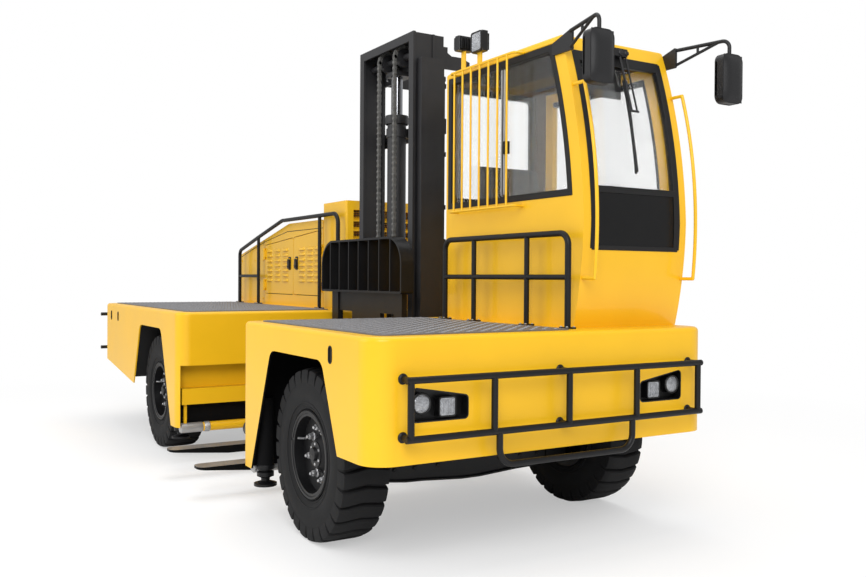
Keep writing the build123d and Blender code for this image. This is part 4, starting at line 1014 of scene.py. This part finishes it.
def louvre_scoops(columns, face=hood_near, out=-1):
    """Pressed scoops over the slits of a door or panel, open at the bottom."""
    shape = Shape()
    half_wide = 0.061
    tall = 0.026
    across = 10
    down = 5
    for x in columns:
        for row in range(louvre_rows):
            top = louvre_low + row * louvre_pitch + 0.018

            def scoop(i, j):
                u = 2 * i / across - 1
                v = j / down
                rise = 0.013 * (1 - u**6) * math.sin(v * math.pi / 2)
                return (x + u * half_wide, face + out * (rise - 0.0005), top - v * tall)

            shape.grid(scoop, across, down)
    return shape


# Columns: door, X of its columns of louvres, X of its latch
for door, columns, x in (
    ("hood_door_rear", (-1.815, -1.629, -1.441), -1.343),
    ("hood_door_front", (-1.079, -0.912, -0.76), -1.187),
):
    piece(door + "_louvres", louvre_scoops(columns), paint, door, solid=0.0015)
    latch = Shape()
    latch.prism(round_rectangle((x, 1.415), (0.05, 0.112), 0.012), "y", hood_near - 0.006, hood_near + 0.001)
    latch.prism(round_rectangle((x, 1.41), (0.039, 0.084), 0.008), "y", hood_near - 0.019, hood_near - 0.005)
    latch.tube([(x - 0.014, hood_near - 0.021, 1.39), (x + 0.014, hood_near - 0.021, 1.39)], 0.005, 10)
    latch.button((x, hood_near - 0.018, 1.438), (0, -1, 0), 0.008, 0.004)
    piece(door + "_latch", latch, plastic, door, bevel=0.002)

hood_seam = Shape()
seam_points = [(-2.58, 1.49), (-2.3, 1.55), (-1.93, 1.62), (-1.4, 1.69), (-0.66, 1.69)]
hood_seam.tube([(x, hood_near + 0.0005, z) for x, z in seam_points], 0.003, 8)
piece("hood_seam", hood_seam, gasket)

hood_bolts = Shape()
for x in (-2.56, -2.2, -1.98):
    for z in (1.1, 1.3, 1.45):
        hood_bolts.button((x, hood_near, z), (0, -1, 0), 0.008)
piece("hood_bolts", hood_bolts, paint)

far_panels = Shape()
panel_z = 1.385
for end, x in (("rear", -1.62), ("front", -1.02)):
    panel = round_rectangle((x, panel_z), (0.56, 0.44), 0.03)
    far_panels.prism(panel, "y", hood_far - 0.001, hood_far + 0.003)
    for dx in (-0.255, 0.0, 0.255):
        for dz in (-0.195, 0.195):
            far_panels.button((x + dx, hood_far + 0.002, panel_z + dz), (0, 1, 0), 0.009)
    scoops = louvre_scoops((x - 0.17, x, x + 0.17), hood_far + 0.003, 1)
    piece("far_louvres_" + end, scoops, paint, solid=0.0015)
piece("far_hood_panels", far_panels, paint, bevel=0.001)

intake_mesh = Shape()
mesh_low = 1.165
mesh_high = 1.805
for k in range(36):
    y = 0.345 + 0.5715 * k / 35
    intake_mesh.tube([(-0.3, y, z) for z in (mesh_low, mesh_high)], 0.0022, 6)
for k in range(40):
    z = mesh_low + (mesh_high - mesh_low) * k / 39
    intake_mesh.tube([(-0.3025, y, z) for y in (0.342, 0.918)], 0.0022, 6)
piece("intake_mesh", intake_mesh, black_paint)


# Mast

chain_pitch = 0.038
link_radius = 0.0118
link_half = 0.0018


def chain_link(shape, middle, number, low, high, waisted):
    """Plates of one link, by threes and fours in turn, about two points of Y and Z."""
    along = (high - low).normalized()
    side = Vector((-along[1], along[0]))
    outline = []
    for end, reach in ((high, link_radius), (low, -link_radius)):
        for k in range(7):
            turn = math.radians(30 * k - 90)
            outline.append(end + (along * math.cos(turn) + side * math.sin(turn)) * reach)
        if waisted:
            outline.append((low + high) / 2 + side * reach * 0.7)
    rows = (-0.0115, -0.0035, 0.0035, 0.0115) if number % 2 else (-0.0075, 0.0, 0.0075)
    for row in rows:
        shape.prism(outline, "x", middle + row - link_half, middle + row + link_half)


def chain_run(shape, middle, y, low, high):
    """Straight run of leaf chain with its pins."""
    links = round((high - low) / chain_pitch)
    pitch = (high - low) / links
    pin = [(0.0045, -0.0165), (0.0055, -0.0155), (0.0055, 0.0155), (0.0045, 0.0165)]
    for k in range(links):
        z = low + k * pitch
        chain_link(shape, middle, k, Vector((y, z)), Vector((y, z + pitch)), True)
        shape.lathe(pin, (middle, y, z), (1, 0, 0), 10)


def chain_wrap(shape, middle):
    """Half turn of leaf chain over its sheave."""
    radius = sheave_radius + chain_thick / 2
    links = 6
    turns = [math.pi * k / links for k in range(links + 1)]
    sheave = Vector((sheave_y, sheave_z))
    ends = [sheave + Vector((math.cos(turn), math.sin(turn))) * radius for turn in turns]
    for k in range(links):
        chain_link(shape, middle, k, ends[k], ends[k + 1], False)
        shape.lathe([(0.0055, -0.016), (0.0055, 0.016)], (middle, *ends[k]), (1, 0, 0), 10)


chain_fronts = Shape()
chain_tops = Shape()
anchors = Shape()
carriage_anchors = Shape()
chain_back = sheave_y + sheave_radius + chain_thick / 2
front_low = 0.676
back_low = 2.36
pin_z = 0.655
for side in (-1, 1):
    middle = well_centre + side * chain_offset
    chain_run(chain_fronts, middle, chain_front, front_low, sheave_z)
    chain_wrap(chain_tops, middle)
    chain_run(chain_tops, middle, chain_back, back_low, sheave_z)
    anchors.lathe([(0.011, 0), (0.011, 0.06), (0.008, 0.062)], (middle, chain_back, 2.28), (0, 0, 1), 16)
    for z, height in ((2.298, 0.014), (2.282, 0.012)):
        anchors.hexagon((middle, chain_back, z), (0, 0, -1), 0.016, height)
    bolt = [(0.012, 0), (0.012, 0.07), (0.009, 0.073)]
    carriage_anchors.lathe(bolt, (middle, chain_front, 0.588), (0, 0, 1), 16)
    carriage_anchors.lathe([(0.008, -0.036), (0.008, 0.036)], (middle, chain_front, pin_z), (1, 0, 0), 16)
    for out in (1, -1):
        carriage_anchors.hexagon((middle + out * 0.034, chain_front, pin_z), (out, 0, 0), 0.013, 0.01)
fronts = piece("chain_front_runs", chain_fronts, chain_steel, "mast_stage")
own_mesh(fronts)
tops = piece("chain_top_runs", chain_tops, chain_steel, "mast_stage")
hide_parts("lift_chains")
piece("chain_anchors", anchors, zinc, "mast")
piece("carriage_chain_anchors", carriage_anchors, zinc, "carriage")

mast_pipes = Shape()
pipe_clamps = Shape()
pipe_x = well_centre + 0.405
for x in (pipe_x - 0.015, pipe_x + 0.015):
    y = 0.4725
    mast_pipes.tube([(x, y, z) for z in (0.56, 0.6, 1.2, 1.9, 2.62)], 0.0085, 12)
    for z in (2.6, 0.545):
        mast_pipes.hexagon((x, y, z), (0, 0, 1), 0.0135, 0.03)
for z in (0.75, 1.15, 1.75, 2.1, 2.55):
    pipe_clamps.prism(round_rectangle((pipe_x, 0.4735), (0.066, 0.022), 0.008), "z", z, z + 0.03)
    pipe_clamps.hexagon((pipe_x, 0.484, z + 0.015), (0, 1, 0), 0.007, 0.006)
piece("mast_pipes", mast_pipes, mast_paint, "mast")
piece("pipe_clamps", pipe_clamps, plastic, "mast", bevel=0.002)

head_bolts = Shape()
for x in (-0.28, -0.2, 0.2, 0.28):
    for z in (2.73, 2.87):
        head_bolts.hexagon((well_centre + x, 0.43, z), (0, -1, 0), 0.012, 0.01)
for side in (-1, 1):
    # Columns: distance of a sheave pin's end from the middle, way it faces
    for x, out in ((0.142, side), (0.08, -side)):
        head_bolts.hexagon((well_centre + side * x, sheave_y, sheave_z), (out, 0, 0), 0.02, 0.012)
piece("crosshead_bolts", head_bolts, zinc, "mast_stage")

gland = Shape()
gland_profile = [(0.079, 0), (0.081, 0.006), (0.081, 0.05), (0.062, 0.062), (0.046, 0.064), (0.0415, 0.06)]
gland.lathe(gland_profile, (well_centre, 0.35, 2.36), (0, 0, 1), 40)
piece("cylinder_gland", gland, mast_paint, "mast")

fork_keys = Shape()
key_profile = [(0.013, 0), (0.013, 0.05), (0.017, 0.052), (0.017, 0.064), (0.012, 0.068)]
for x in (well_centre - 0.3, well_centre + 0.3):
    fork_keys.lathe(key_profile, (x, 0.11, 0.74), (0, 0, 1), 20)
    fork_keys.tube([(x - 0.03, 0.11, 0.8), (x, 0.11, 0.803), (x + 0.03, 0.11, 0.8)], 0.005, 10)
piece("fork_keys", fork_keys, zinc, "carriage")

backrest_bolts = Shape()
for x in (-0.44, -0.5, 0.44, 0.5):
    for z in (0.645, 0.695):
        backrest_bolts.hexagon((well_centre + x, 0.1255, z), (0, -1, 0), 0.011, 0.009)
piece("backrest_bolts", backrest_bolts, zinc, "carriage")


# Chassis

tie_ends = Shape()
jack_collars = Shape()
# Columns: radius, Y
tie_profile = [(0.0, -0.953), (0.028, -0.953), (0.0345, -0.946), (0.0345, -0.8)]
tie_profile += [(0.029, -0.79), (0.036, -0.78), (0.036, -0.75), (0.0322, -0.745)]
collar_profile = [(0.046, 0.0), (0.05, 0.004), (0.05, 0.02), (0.0455, 0.026)]
for side in (-1, 1):
    tie_ends.lathe(tie_profile, (well_centre + side * (well_half + 0.08), 0, 0.245), (0, 1, 0))
    jack_collars.lathe(collar_profile, (well_centre + side * 0.82805, -0.915, 0.249), (0, 0, 1))
piece("tie_tube_ends", tie_ends, bare_steel)
piece("jack_collars", jack_collars, black_paint)

# Black box beam welded under the front axle, with its sole plate and bolts; it fills a dark band under the
# front body, partly as a beam and partly as painted shade there
beam_and_shade = Shape()
axle_x = axles["front"]
half_sole = [(0.06, 0.224), (0.3, 0.24), (0.4, 0.243), (0.52, 0.256)]
sole = [(-y, z) for y, z in reversed(half_sole)] + half_sole
beam_and_shade.prism(sole + [(0.52, 0.368), (-0.52, 0.368)], "x", axle_x - 0.054, axle_x + 0.054)
beam_and_shade.prism(sole + [(y, z + 0.012) for y, z in reversed(sole)], "x", axle_x - 0.07, axle_x + 0.07)
for y in (-0.46, -0.34, -0.2, 0.2, 0.34, 0.46):
    beam_and_shade.hexagon((axle_x + 0.053, y, 0.312), (1, 0, 0), 0.012, 0.009)
piece("front_beam_and_shade", beam_and_shade, black_paint, bevel=0.003)

# Splash walls behind the rear wheels, along the arches' rear edges
splash_walls = Shape()
route = [(-1.3235 - 0.42 * (0.918 - z), z) for z in (0.905, 0.488)]
route.append((route[1][0] - 0.024, 0.484))
wall = route + [(x - 0.006, z + 0.006) for x, z in reversed(route)]
for low, high in ((-0.982, -0.56), (0.885, 0.982)):
    splash_walls.prism(wall, "y", low, high)
piece("rear_splash_walls", splash_walls, gasket, bevel=0.0012)

slot_liners = Shape()
slot_z = deck - 0.099
for x in (2.239, -2.085, -2.348):
    outer = round_rectangle((x, slot_z), (0.042, 0.082), 0.0205)
    inner = round_rectangle((x, slot_z), (0.032, 0.072), 0.0155)
    bottom = round_rectangle((x, slot_z), (0.037, 0.077), 0.018)
    for side in (-1, 1):
        slot_liners.band(outer, inner, "y", side * (half_width + 0.002), side * (half_width - 0.006))
        slot_liners.prism(bottom, "y", side * (half_width - 0.005), side * (half_width - 0.008))
piece("slot_liners", slot_liners, gasket)

guard_welds = Shape()
weld_profile = [(0.024, -0.002), (0.0235, 0.002), (0.019, 0.006), (0.0138, 0.009)]
# Columns: end of the body, heights of the guard's tubes
for end, heights in ((1, (0.874, 0.629)), (-1, (0.947, 0.644))):
    for y in (-0.84, 0.0, 0.84):
        for z in heights:
            guard_welds.lathe(weld_profile, (end * half_length, y, z), (end, 0, 0), 24)
piece("guard_welds", guard_welds, black_paint, bevel=0.0012)
